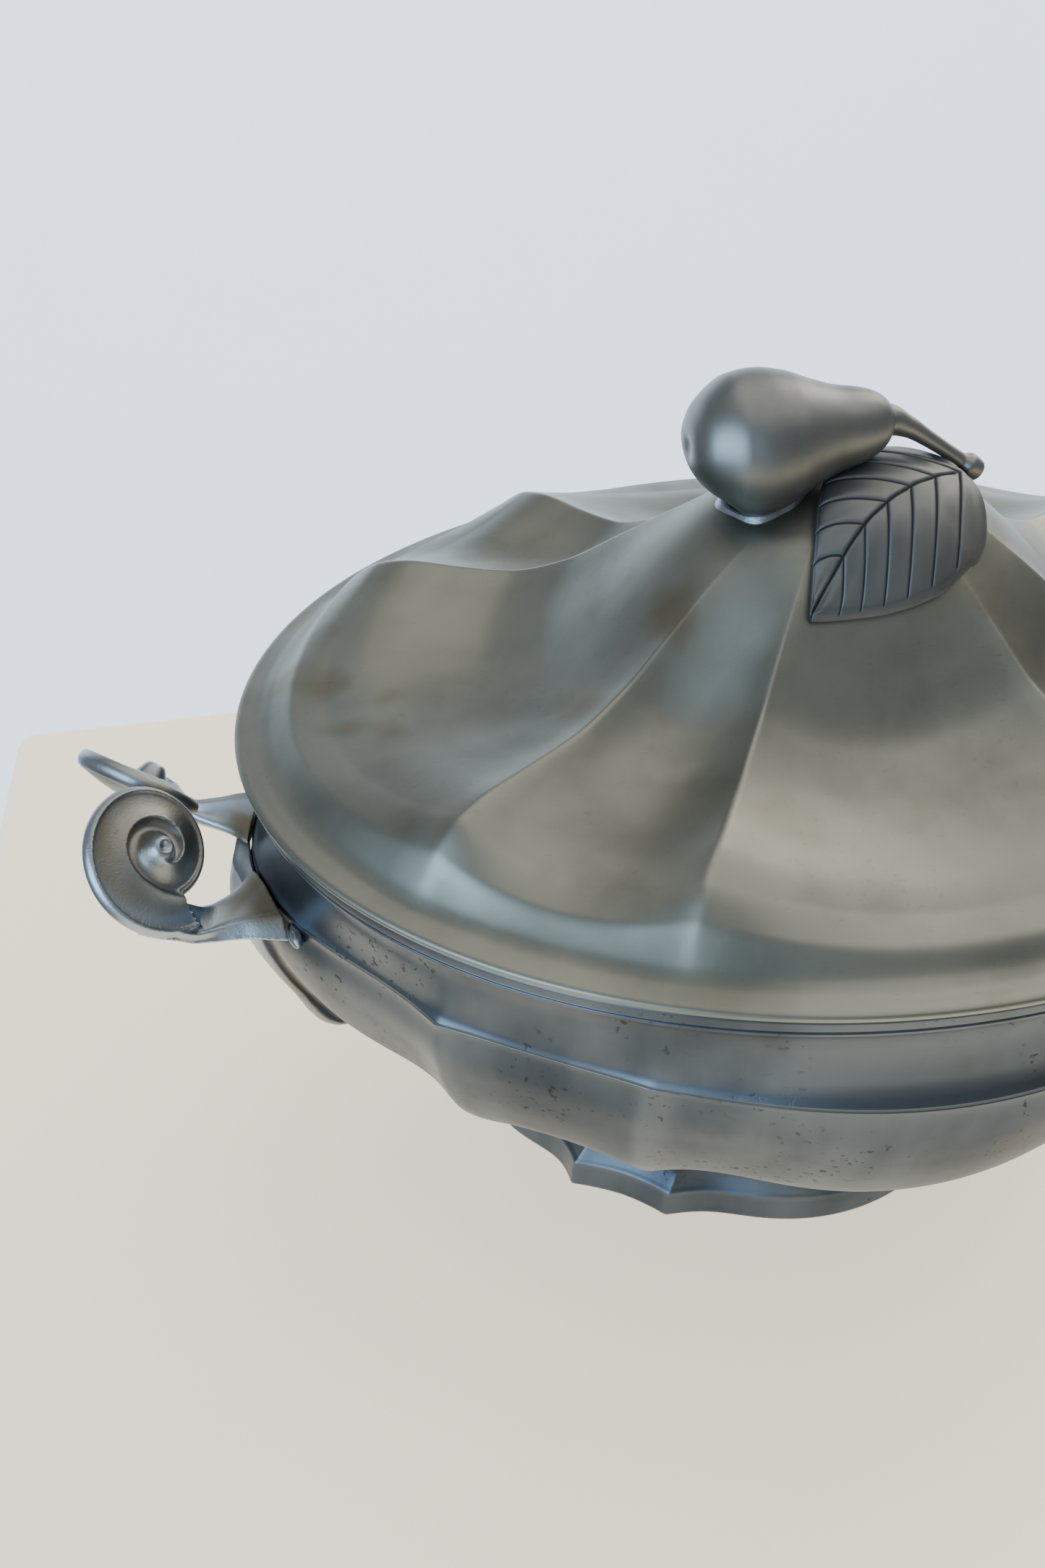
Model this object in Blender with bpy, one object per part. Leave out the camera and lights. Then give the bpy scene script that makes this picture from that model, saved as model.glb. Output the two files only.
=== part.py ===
"""Covered oval tureen in cast pewter: lobed bowl, domed lid with a pear, and ram's-horn handles.

Metres, +Z up. The origin is the centre of the foot's underside, X runs along the handles
and -Y is the front. Shapes are worked out in lengths of half the lid (U) and placed at the end.
"""

from math import atan2, cos, exp, hypot, pi, radians, sin

import bpy
import numpy as np

# Driving dimensions
U = 0.130  # half the length of the lid, m
WIDTH_RATIO = 0.779  # the lid's width over its length
FOOT_RATIO = 0.735  # the same for the foot, which is a little slimmer
RIM_HEIGHT = 0.930  # lid rim above the table, in U
WALL = 0.0024 / U  # casting thickness of the bowl
LID_WALL = 0.0022 / U
GAP = 0.0003 / U  # clearance that keeps touching castings apart

# Where the lobes' ridges lie, in degrees of the oval from the front or back
LID_RIDGES = (27.0, 55.1)
BOWL_RIDGES = (29.3, 52.0)
FOOT_RIDGES = (32.7, 55.0)
FRONT, CORNER, END = 0, 1, 2
PANEL_STEPS = (14, 5, 9)  # facets across a front, a corner and an end panel

RIM_BAND_DEPTH = 0.055  # height of the moulded band that the lid sits on
ARRIS = -0.210  # height of the edge between cove and belly
BASE = -0.790  # underside of the bowl, where the foot is soldered on

# Bowl outline: height, reach of the ridges, then (middle swell, flank dip) of each kind of panel
BOWL_LEVELS = [
    (-0.060, 0.965, (0.000, 0.000), (0.000, 0.000), (0.000, 0.000)),
    (-0.120, 0.940, (0.006, 0.000), (-0.004, 0.000), (0.006, 0.000)),
    (-0.170, 0.943, (0.020, 0.000), (-0.010, 0.003), (0.020, 0.012)),
    (-0.210, 0.955, (0.038, 0.000), (-0.019, 0.006), (0.030, 0.027)),
    (-0.260, 0.955, (0.045, 0.006), (-0.020, 0.006), (0.040, 0.034)),
    (-0.340, 0.940, (0.048, 0.014), (-0.022, 0.006), (0.040, 0.036)),
    (-0.450, 0.895, (0.045, 0.024), (-0.026, 0.006), (0.040, 0.038)),
    (-0.560, 0.805, (0.040, 0.032), (-0.030, 0.008), (0.035, 0.038)),
    (-0.650, 0.690, (0.035, 0.034), (-0.030, 0.008), (0.030, 0.036)),
    (-0.720, 0.590, (0.030, 0.032), (-0.028, 0.006), (0.025, 0.034)),
    (-0.780, 0.530, (0.024, 0.026), (-0.026, 0.006), (0.020, 0.032)),
    (-0.830, 0.525, (0.012, 0.026), (-0.026, 0.006), (0.010, 0.032)),
    (-0.870, 0.550, (0.000, 0.028), (-0.026, 0.006), (0.000, 0.034)),
    (-0.930, 0.557, (0.000, 0.028), (-0.026, 0.006), (0.000, 0.034)),
]
# Lid section along a ridge: share of the way from the centre to the rim, height
LID_SECTION = [
    (0.06, 0.409), (0.20, 0.375), (0.30, 0.320), (0.40, 0.254), (0.50, 0.190), (0.60, 0.153),
    (0.70, 0.142), (0.78, 0.137), (0.85, 0.120), (0.90, 0.084), (0.95, 0.020), (1.00, 0.000),
]
LID_TOP_RATIO = 0.612  # width over length of the lid's innermost contours
PANEL_DIP = (0.050, 0.034, 0.050)  # how far each kind of lid panel sags between its ridges

# Handle: centre and face of the volute at the left front, in U
VOLUTE_CENTRE = (-1.140, -0.096, -0.094)
VOLUTE_NORMAL = (0.54, -0.54, 0.645)
VOLUTE_START = 0.0865  # reach of the spiral where the arm closes on it
VOLUTE_GROWTH = 0.0845  # growth of the spiral per radian
VOLUTE_START_ANGLE = -36.7
VOLUTE_THICKNESS = 0.034
# The arm from the bowl to the volute: its edge beside the other arm, its outer edge, its thickness
ARM_EDGES = [
    ((-0.993, -0.040, -0.217), (-0.957, -0.194, -0.232), 0.040),
    ((-1.010, -0.056, -0.217), (-0.985, -0.192, -0.229), 0.038),
    ((-1.034, -0.088, -0.217), (-1.025, -0.184, -0.229), 0.036),
    ((-1.056, -0.105, -0.214), (-1.062, -0.182, -0.230), 0.036),
    ((-1.082, -0.124, -0.202), (-1.098, -0.187, -0.222), 0.035),
    ((-1.106, -0.138, -0.176), (-1.135, -0.196, -0.196), 0.033),
    ((-1.135, -0.130, -0.140), (-1.172, -0.190, -0.160), 0.028),
]
# The bracket below the arms: height, its middle's distance from the axis, half width, half thickness
BRACKET_ROWS = [
    (-0.254, 1.014, 0.115, 0.014), (-0.285, 1.008, 0.082, 0.014), (-0.325, 1.000, 0.048, 0.013),
    (-0.370, 0.987, 0.028, 0.012), (-0.430, 0.966, 0.019, 0.012), (-0.500, 0.937, 0.013, 0.009),
    (-0.560, 0.905, 0.014, 0.010), (-0.605, 0.879, 0.021, 0.015), (-0.632, 0.858, 0.013, 0.010),
    (-0.645, 0.845, 0.005, 0.004),
]
BRACKET_FREE = -0.400  # height below which the tail no longer follows the bowl

# Finial, in U
PEAR_CENTRE = (-0.165, 0.0, 0.489)
PEAR_RADIUS = 0.112
PEAR_NECK = 0.225  # from the centre of the belly to the end of the neck
PEAR_NECK_RISE = 0.018
PEAR_OUTLINE = [
    (-1.00, 0.10), (-0.93, 0.42), (-0.70, 0.74), (-0.35, 0.95), (0.00, 1.00), (0.40, 0.93),
    (0.80, 0.76), (1.15, 0.60), (1.50, 0.45), (1.80, 0.31), (2.00, 0.22),
]
SOLDER_MIDDLE = -0.130  # X of the middle of the pear's seat
SOLDER_INNER = 0.012  # crevice height where the bead starts
SOLDER_OUTER = 0.024  # crevice height where the bead ends
STEM_PATH = [(0.064, 0.0, 0.508), (0.100, 0.0, 0.508), (0.148, 0.0, 0.482), (0.186, 0.0, 0.442)]
LEAF_BASE = (0.180, -0.045)
LEAF_TIP = (-0.125, -0.213)
LEAF_HALF_WIDTH = 0.100
LEAF_THICKNESS = 0.011

PEWTER = {
    "bowl": ((0.30, 0.31, 0.31), 0.38),
    "lid": ((0.36, 0.35, 0.31), 0.36),
    "handle": ((0.22, 0.21, 0.19), 0.45),
    "finial": ((0.30, 0.30, 0.28), 0.34),
    "solder": ((0.55, 0.56, 0.56), 0.30),
}


def clear_scene():
    for old in list(bpy.data.objects):
        bpy.data.objects.remove(old)


def pewter(name):
    colour, roughness = PEWTER[name]
    made = bpy.data.materials.get("pewter_" + name) or bpy.data.materials.new("pewter_" + name)
    made.use_nodes = True
    shader = made.node_tree.nodes["Principled BSDF"]
    shader.inputs["Base Color"].default_value = (*colour, 1.0)
    shader.inputs["Metallic"].default_value = 1.0
    shader.inputs["Roughness"].default_value = roughness
    return made


def add_solid(name, points, faces, finish, parent):
    """A mesh object from points in U, measured from the lid rim's plane."""
    mesh = bpy.data.meshes.new(name)
    mesh.from_pydata([(x * U, y * U, (z + RIM_HEIGHT) * U) for x, y, z in points], [], faces)
    mesh.validate()
    mesh.materials.append(pewter(finish))
    mesh.shade_smooth()
    mesh.set_sharp_from_angle(angle=radians(35))
    made = bpy.data.objects.new(name, mesh)
    bpy.context.scene.collection.objects.link(made)
    made.parent = parent
    return made


def skin(loops, closed):
    """Faces over loops of equal length: a closed tube wall, or a body capped at both ends."""
    count = len(loops[0])
    points = [tuple(p) for loop in loops for p in loop]
    faces = []
    pairs = len(loops) if closed else len(loops) - 1
    for i in range(pairs):
        j = (i + 1) % len(loops)
        for k in range(count):
            m = (k + 1) % count
            faces.append((i * count + k, i * count + m, j * count + m, j * count + k))
    if not closed:
        for loop_index, flip in ((0, True), (len(loops) - 1, False)):
            hub = len(points)
            points.append(tuple(np.mean(loops[loop_index], axis=0)))
            for k in range(count):
                a = loop_index * count + k
                b = loop_index * count + (k + 1) % count
                faces.append((hub, b, a) if flip else (hub, a, b))
    return points, faces


def facing_out(points, faces):
    """The faces, turned round if they enclose a negative volume."""
    p = np.array(points)
    volume = 0.0
    for face in faces:
        for b, c in zip(face[1:], face[2:]):
            volume += np.dot(p[face[0]], np.cross(p[b], p[c]))
    return faces if volume > 0 else [tuple(reversed(f)) for f in faces]


def add_skin(name, loops, closed, finish, parent):
    points, faces = skin(loops, closed)
    return add_solid(name, points, facing_out(points, faces), finish, parent)


def panel_stations():
    """(sign of x, sign of front, kind, place across the panel from -1 to 1), once round the oval."""
    quarter = []
    steps = PANEL_STEPS[FRONT] // 2
    quarter += [(FRONT, i / steps) for i in range(steps)]
    steps = PANEL_STEPS[CORNER]
    quarter += [(CORNER, -1 + 2 * i / steps) for i in range(steps)]
    steps = PANEL_STEPS[END] // 2
    quarter += [(END, 1 - i / steps) for i in range(steps)]
    right_front = [(1, 1, *q) for q in quarter]
    right_back = [(1, -1, *q) for q in reversed(quarter[1:])]
    left_back = [(-1, -1, *q) for q in quarter]
    left_front = [(-1, 1, *q) for q in reversed(quarter[1:])]
    return right_front + [(1, 0, END, 0.0)] + right_back + left_back + [(-1, 0, END, 0.0)] + left_front


STATIONS = panel_stations()


def oval_angle(kind, place, ridges):
    """Degrees of the oval, from its front or back middle, of a place across a panel."""
    first, second = ridges
    if kind == FRONT:
        return first * abs(place)
    if kind == CORNER:
        return (first + second) / 2 + place * (second - first) / 2
    return 90 - (90 - second) * abs(place)


def swell(place, amounts):
    """A bracket-shaped lobe: it swells in the middle and dips beside the ridges."""
    middle, flank = amounts
    return middle * (1 - place**2) ** 2 - flank * sin(pi * place**2)


def bowl_loop(level):
    height, reach, *lobes = level
    share = min(max((-height - 0.2) / 0.7, 0), 1)
    ridges = [a + (b - a) * share for a, b in zip(BOWL_RIDGES, FOOT_RIDGES)]
    ratio = WIDTH_RATIO + (FOOT_RATIO - WIDTH_RATIO) * min(max((-height - 0.3) / 0.6, 0), 1)
    loop = []
    for side, front, kind, place in STATIONS:
        angle = radians(oval_angle(kind, place, ridges))
        out = reach + swell(place, lobes[kind])
        loop.append((side * out * sin(angle), -front * out * ratio * cos(angle), height))
    return loop


def level_at(height):
    """The bowl's outline at any height, read between its levels."""
    heights = [-level[0] for level in BOWL_LEVELS]
    read = lambda values: float(np.interp(-height, heights, values))
    lobes = [tuple(read([lv[2 + k][j] for lv in BOWL_LEVELS]) for j in (0, 1)) for k in range(3)]
    return (height, read([level[1] for level in BOWL_LEVELS]), *lobes)


def oval_loop(reach, height, ratio=WIDTH_RATIO):
    loop = []
    for side, front, kind, place in STATIONS:
        angle = radians(oval_angle(kind, place, LID_RIDGES))
        loop.append((side * reach * sin(angle), -front * reach * ratio * cos(angle), height))
    return loop


def inward(loops, wall):
    """The loops moved in by the wall, along the normals of the surface that they span."""
    grid = np.array(loops)
    along = np.roll(grid, -1, axis=1) - np.roll(grid, 1, axis=1)
    down = np.gradient(grid, axis=0)
    normal = np.cross(along, down)
    normal /= np.linalg.norm(normal, axis=2)[..., None]
    middle = np.array([0.0, 0.0, grid[..., 2].mean()])
    if (normal * (grid - middle)).sum() < 0:
        normal = -normal
    return [[tuple(p) for p in loop] for loop in grid - normal * wall]


def add_bowl(parent):
    top = -RIM_BAND_DEPTH - GAP
    cove_heights = [top, -0.075, -0.120, -0.170, ARRIS + GAP]
    cove = [bowl_loop(level_at(h)) for h in cove_heights]
    cove_inner = inward(cove, WALL)
    cove_inner[0] = [(x, y, top) for x, y, _ in cove_inner[0]]
    cove_inner[-1] = [(x, y, ARRIS + GAP) for x, y, _ in cove_inner[-1]]
    add_skin("bowl_cove_casting", cove + cove_inner[::-1], True, "bowl", parent)
    belly_heights = [ARRIS - GAP, -0.260, -0.340, -0.450, -0.560, -0.650, -0.720, BASE]
    belly = [bowl_loop(level_at(h)) for h in belly_heights]
    belly_inner = inward(belly, WALL)[:-1]
    belly_inner[0] = [(x, y, ARRIS - GAP) for x, y, _ in belly_inner[0]]
    belly_inner.append([(x * 0.90, y * 0.90, BASE + WALL * 1.2) for x, y, _ in belly[-1]])
    add_skin("bowl_belly_casting", belly_inner[::-1] + belly, False, "bowl", parent)


def add_rim_band(parent):
    top = -LID_WALL * 0.9 - GAP
    section = [
        (0.948, top), (0.982, top), (0.986, top - 0.006), (0.986, -0.040), (0.978, -0.044),
        (0.978, -RIM_BAND_DEPTH + 0.004), (0.972, -RIM_BAND_DEPTH), (0.948, -RIM_BAND_DEPTH),
    ]
    loops = [oval_loop(reach, height) for reach, height in section]
    add_skin("rim_band", loops, True, "bowl", parent)


def add_foot(parent):
    heights = [BASE - GAP, -0.830, -0.862, -0.872, -RIM_HEIGHT]
    outer = [bowl_loop(level_at(h)) for h in heights]
    inner = [[(x * 0.955, y * 0.94, z) for x, y, z in loop] for loop in outer]
    add_skin("foot_ring", outer + inner[::-1], True, "bowl", parent)


def lid_height(reach, kind, place):
    ridge = float(np.interp(reach, [s for s, _ in LID_SECTION], [h for _, h in LID_SECTION]))
    window = min(max((0.96 - reach) / 0.16, 0), 1) * min(max((reach - 0.15) / 0.35, 0), 1)
    return ridge - PANEL_DIP[kind] * (1 - place**2) * window


def lid_ratio(reach):
    return LID_TOP_RATIO + (WIDTH_RATIO - LID_TOP_RATIO) * reach


def lid_loop(reach):
    loop = []
    for side, front, kind, place in STATIONS:
        angle = radians(oval_angle(kind, place, LID_RIDGES))
        height = lid_height(reach, kind, place)
        loop.append((side * reach * sin(angle), -front * reach * lid_ratio(reach) * cos(angle), height))
    return loop


def lid_surface(x, y):
    """Height of the lid's top over a point of the plan."""
    reach = hypot(x, y / LID_TOP_RATIO)
    for _ in range(8):
        reach = hypot(x, y / lid_ratio(reach))
    angle = abs(90 - abs(90 - abs(atan2(x, -y / lid_ratio(reach)) * 180 / pi)))
    first, second = LID_RIDGES
    if angle < first:
        return lid_height(reach, FRONT, angle / first)
    if angle < second:
        return lid_height(reach, CORNER, (2 * angle - first - second) / (second - first))
    return lid_height(reach, END, (90 - angle) / (90 - second))


def add_lid(parent):
    top = [lid_loop(reach) for reach, _ in LID_SECTION]
    under = inward(top, LID_WALL)
    under[-1] = oval_loop(0.998, -LID_WALL * 0.9)
    under[-2] = oval_loop(0.945, -LID_WALL * 0.9)
    add_skin("lid_shell", under + top[::-1], False, "lid", parent)
    seat = -LID_WALL * 0.9 - GAP
    section = [(0.938, seat), (0.938, -0.046), (0.932, -0.050), (0.918, -0.050), (0.918, seat)]
    add_skin("lid_locating_ring", [oval_loop(r, h) for r, h in section], True, "lid", parent)


def sweep_loops(path, side_axes, halves, sides):
    """Oval sections along a path, each with its half size across and along its side axis."""
    path = np.array(path, float)
    tangents = np.gradient(path, axis=0)
    side_axes = np.broadcast_to(side_axes, path.shape)
    loops = []
    for point, tangent, side_axis, (across, along) in zip(path, tangents, side_axes, halves):
        tangent = tangent / np.linalg.norm(tangent)
        first = np.cross(tangent, side_axis)
        first /= np.linalg.norm(first)
        second = np.cross(first, tangent)
        turns = [2 * pi * k / sides for k in range(sides)]
        loops.append([point + first * across * cos(a) + second * along * sin(a) for a in turns])
    return loops


def volute_loops():
    """A dished disc inside one turn of the spiral, from its face to its back."""
    normal = np.array(VOLUTE_NORMAL) / np.linalg.norm(VOLUTE_NORMAL)
    across = np.cross((0.0, 1.0, 0.0), normal)
    across /= np.linalg.norm(across)
    if across[0] < 0:
        across = -across
    up = np.cross(normal, across)
    face = [(0.30, 0.45), (0.62, 0.22), (0.86, 0.50), (1.0, 0.22)]
    back = [(1.0, -0.22), (0.86, -0.50), (0.30, -0.50)]
    loops = []
    for share, lift in face + back:
        loop = []
        for k in range(30):
            turn = 2 * pi * k / 30
            reach = share * VOLUTE_START * exp(VOLUTE_GROWTH * turn)
            angle = radians(VOLUTE_START_ANGLE) + turn
            loop.append(
                np.array(VOLUTE_CENTRE)
                + across * reach * cos(angle)
                + up * reach * sin(angle)
                + normal * VOLUTE_THICKNESS * lift
            )
        loops.append(loop)
    return loops


def mirrored(loops, side, front):
    return [[(p[0] * side, p[1] * front, p[2]) for p in loop] for loop in loops]


def arm_loops():
    """Oval sections of the arm, each laid between its two edges."""
    inner = np.array([edge for edge, _, _ in ARM_EDGES])
    outer = np.array([edge for _, edge, _ in ARM_EDGES])
    widths = np.linalg.norm(outer - inner, axis=1)
    halves = [(thickness / 2, width / 2) for (_, _, thickness), width in zip(ARM_EDGES, widths)]
    return sweep_loops((inner + outer) / 2, outer - inner, halves, 14)


def add_handle(side_name, side, parent):
    """One end: two scrolls that mirror each other, and the bracket with its tail between them."""
    for front_name, front in (("front", 1), ("rear", -1)):
        name = f"handle_{side_name}_{front_name}_scroll"
        scroll = add_skin(name, mirrored(volute_loops(), side, front), False, "handle", parent)
        tool = add_skin(name + "_arm", mirrored(arm_loops(), side, front), False, "handle", parent)
        tool.hide_render = True
        tool.display_type = "WIRE"
        join = scroll.modifiers.new("arm", "BOOLEAN")
        join.operation = "UNION"
        join.object = tool
    add_bracket(f"handle_{side_name}_bracket", side, parent)


def bowl_end(y, height):
    """How far the bowl's end reaches from the axis, at a distance y from its middle plane."""
    loop = np.array(bowl_loop(level_at(height)))
    near = loop[(loop[:, 0] > 0) & (loop[:, 1] <= 0)]
    near = near[np.argsort(-near[:, 1])]
    return float(np.interp(abs(y), -near[:, 1], near[:, 0]))


def add_bracket(name, side, parent):
    """A shield that hugs the bowl under the arms and tapers to a tail with a bud at its end."""
    loops = []
    for height, middle, half_width, half_depth in BRACKET_ROWS:
        loop = []
        for k in range(16):
            y = half_width * sin(2 * pi * k / 16)
            bend = bowl_end(0, height) - bowl_end(y, height) if height > BRACKET_FREE else 0.0
            x = middle - bend + half_depth * cos(2 * pi * k / 16)
            loop.append((-side * x, y, height))
        loops.append(loop)
    add_skin(name, loops, False, "handle", parent)


def pear_section(along):
    """Centre height and radius of the pear, `along` belly radii before or half necks after its middle."""
    places = [p for p, _ in PEAR_OUTLINE]
    radius = PEAR_RADIUS * float(np.interp(along, places, [r for _, r in PEAR_OUTLINE]))
    return PEAR_CENTRE[2] + PEAR_NECK_RISE * max(along, 0) / 2, radius


def pear_x(along):
    step = PEAR_NECK / 2 if along > 0 else PEAR_RADIUS
    return PEAR_CENTRE[0] + step * along


def pear_underside(x, y):
    offset = x - PEAR_CENTRE[0]
    along = offset / (PEAR_NECK / 2) if offset > 0 else offset / PEAR_RADIUS
    middle, radius = pear_section(along)
    return middle - max(radius**2 - y**2, 0.0) ** 0.5


def add_pear(parent):
    """A pear on its side: a round belly that narrows into the neck, cut to sit on the lid."""
    loops = []
    for along, _ in PEAR_OUTLINE:
        middle, r = pear_section(along)
        turns = [2 * pi * k / 20 for k in range(20)]
        loops.append([(pear_x(along), r * cos(a), middle + r * sin(a)) for a in turns])
    pear = add_skin("pear", loops, False, "finial", parent)
    seat = add_skin("pear_seat_cutter", seat_cutter(), False, "finial", parent)
    seat.hide_render = True
    seat.display_type = "WIRE"
    cut = pear.modifiers.new("seat", "BOOLEAN")
    cut.operation = "DIFFERENCE"
    cut.object = seat


def seat_cutter():
    """A block whose top lies just over the lid, so that the pear is hollowed to fit its curve."""
    loops = []
    for x in np.linspace(-0.30, 0.12, 13):
        top = [(x, y, lid_surface(x, y) + 2 * GAP) for y in np.linspace(-0.14, 0.14, 9)]
        loops.append(top + [(x, 0.14, 0.25), (x, -0.14, 0.25)])
    return loops


def add_solder(parent):
    """The bead of solder that fills the crevice between the pear and the lid."""
    sections = []
    for k in range(28):
        turn = 2 * pi * k / 28
        reach_at = {}
        for reach in np.linspace(0.0, 0.15, 151):
            x = SOLDER_MIDDLE + reach * cos(turn)
            y = reach * sin(turn)
            crevice = pear_underside(x, y) - lid_surface(x, y)
            for wanted in (SOLDER_INNER, SOLDER_OUTER):
                if crevice < wanted:
                    reach_at[wanted] = reach
        near, far = reach_at[SOLDER_INNER], reach_at[SOLDER_OUTER]
        section = []
        for reach, on_pear in ((near, True), (near, False), (far + 0.010, False), (far, True)):
            x = SOLDER_MIDDLE + reach * cos(turn)
            y = reach * sin(turn)
            height = pear_underside(x, y) - 2 * GAP if on_pear else lid_surface(x, y) + 2 * GAP
            section.append((x, y, height))
        sections.append(section)
    loops = [[section[i] for section in sections] for i in range(4)]
    add_skin("finial_solder_bead", loops, True, "solder", parent)


def add_finial(parent):
    add_pear(parent)
    radii = [0.020, 0.017, 0.015, 0.013]
    end = np.array(STEM_PATH[-1])
    knob = [tuple(end + np.array((0.010, 0.0, -0.012))), tuple(end + np.array((0.024, 0.0, -0.028)))]
    path = STEM_PATH + knob
    halves = [(r, r) for r in radii + [0.019, 0.012]]
    add_skin("stem", sweep_loops(path, (0.0, 1.0, 0.0), halves, 12), False, "finial", parent)
    add_leaf(parent)
    add_solder(parent)


def leaf_point(u, v):
    """Plan place and height of the leaf's underside at u along the midrib and v across it."""
    base, tip = np.array(LEAF_BASE), np.array(LEAF_TIP)
    along = (tip - base) / np.linalg.norm(tip - base)
    across = np.array((-along[1], along[0]))
    half = LEAF_HALF_WIDTH * sin(pi * min(u, 1.0) ** 0.75) ** 0.65
    bow = -0.02 * sin(pi * u)
    x, y = base + (tip - base) * u + across * (v * half + bow)
    lift = 0.012 + 0.030 * (1 - u) ** 1.5 + 0.014 * (1 - v * v) * sin(pi * u)
    return x, y, lid_surface(x, y) + lift


def add_leaf(parent):
    rows = [0.02, 0.10, 0.22, 0.36, 0.50, 0.64, 0.78, 0.90, 0.97]
    columns = np.linspace(-1, 1, 9)
    loops = []
    for u in rows:
        under = [leaf_point(u, v) for v in columns]
        over = [(x, y, z + LEAF_THICKNESS) for x, y, z in reversed(under)]
        loops.append(under + over)
    add_skin("leaf", loops, False, "finial", parent)


def main():
    clear_scene()
    bowl = bpy.data.objects.new("bowl_assembly", None)
    lid = bpy.data.objects.new("lid_assembly", None)
    for empty in (bowl, lid):
        bpy.context.scene.collection.objects.link(empty)
    add_bowl(bowl)
    add_rim_band(bowl)
    add_foot(bowl)
    add_handle("left", 1, bowl)
    add_handle("right", -1, bowl)
    add_lid(lid)
    add_finial(lid)


main()
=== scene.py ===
# %% [markdown]
# # A covered oval bowl in cast pewter
# This lesson builds the visible surfaces of a lobed pewter bowl round a CAD frame that is already
# settled. The frame gives the sizes and the moving bodies. Everything that shows is made again here
# with finer skins, because the frame's solids are coarse and have none of the softness of real pewter
# castings.

from math import cos, pi, radians, sin

import bpy
import numpy as np
from mathutils import Matrix, Vector


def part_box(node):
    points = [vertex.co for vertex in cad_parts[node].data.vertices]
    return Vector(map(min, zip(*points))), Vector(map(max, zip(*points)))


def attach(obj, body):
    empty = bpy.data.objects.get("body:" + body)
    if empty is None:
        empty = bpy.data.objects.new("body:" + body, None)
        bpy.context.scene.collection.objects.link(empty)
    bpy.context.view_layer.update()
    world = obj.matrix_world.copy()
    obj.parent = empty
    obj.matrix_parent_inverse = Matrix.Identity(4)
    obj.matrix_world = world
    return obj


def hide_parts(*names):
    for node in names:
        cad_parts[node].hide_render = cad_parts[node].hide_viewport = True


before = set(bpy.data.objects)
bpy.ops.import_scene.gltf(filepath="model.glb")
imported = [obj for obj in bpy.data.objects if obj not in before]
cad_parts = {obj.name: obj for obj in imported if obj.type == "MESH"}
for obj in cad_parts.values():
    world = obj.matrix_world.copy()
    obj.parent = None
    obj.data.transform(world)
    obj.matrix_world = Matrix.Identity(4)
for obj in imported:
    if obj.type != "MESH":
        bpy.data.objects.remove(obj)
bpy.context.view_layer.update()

# %% [markdown]
# All shapes are worked out in one unit, half the length of the lid, with height 0 in the plane of the
# lid's rim. A caster's drawing works the same way: one module, and every reach and height as a share of
# it. The unit comes from the frame's lid, so the skins can't drift away from the solids that they stand
# for.

# %% Measure the module
_, lid_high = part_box("lid_shell")
U = lid_high.x
RIM_HEIGHT = 0.930
LID_MIDDLE = Vector((0.0, 0.0, RIM_HEIGHT * U))
print("module", round(U * 1000, 1), "mm, lid rim", round(LID_MIDDLE.z * 1000, 1), "mm above the table")

# %% [markdown]
# The camera looks down on the left front of the bowl from about 40 cm, with a 40 mm lens and a slight
# tilt. It is placed from the middle of the lid in the same module, and aimed at a point inside the
# bowl, half-way to its left end.

# %% Place the camera
CAMERA_FROM_LID = Vector((-1.0855, -2.2894, 1.7201)) * U
AIM_FROM_LID = Vector((-0.5047, 0.0493, -0.1690)) * U
CAMERA_ROLL = radians(1.71)
LENS = 39.85

camera = bpy.data.objects.new("camera", bpy.data.cameras.new("camera"))
bpy.context.scene.collection.objects.link(camera)
camera.data.lens = LENS
camera.data.clip_start = 0.02
camera.location = LID_MIDDLE + CAMERA_FROM_LID
aim = (AIM_FROM_LID - CAMERA_FROM_LID).to_track_quat("-Z", "Y").to_matrix().to_4x4()
camera.matrix_world = Matrix.Translation(camera.location) @ aim @ Matrix.Rotation(CAMERA_ROLL, 4, "Z")
bpy.context.scene.camera = camera
print("camera", [round(x, 3) for x in camera.location], "lens", LENS)

# %% [markdown]
# ## Shader maths
# Pewter is one metal in many states: rubbed, stained, pitted, brushed. Its finishes are sums and
# products of a few noise patterns, so a small class wraps a node's output and lets those sums be
# written as Python. Each operator adds one Math node. Anything that isn't arithmetic goes through one
# method, `node`.


# %% A class for shader maths
class Value:
    """The output of a node, with arithmetic that adds Math nodes."""

    def __init__(self, finish, socket):
        self.finish = finish
        self.socket = socket

    def maths(self, operation, first, second=0.0):
        """One Math node over two values or numbers."""
        return self.finish.node("ShaderNodeMath", {"operation": operation}, {0: first, 1: second})

    def __add__(self, other):
        return self.maths("ADD", self, other)

    def __sub__(self, other):
        return self.maths("SUBTRACT", self, other)

    def __rsub__(self, other):
        return self.maths("SUBTRACT", other, self)

    def __mul__(self, other):
        return self.maths("MULTIPLY", self, other)

    __radd__ = __add__
    __rmul__ = __mul__

    def band(self, low, high):
        """0 below low and 1 above high, smooth between."""
        settings = {"interpolation_type": "SMOOTHSTEP"}
        return self.finish.node("ShaderNodeMapRange", settings, {0: self, 1: low, 2: high})


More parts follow.
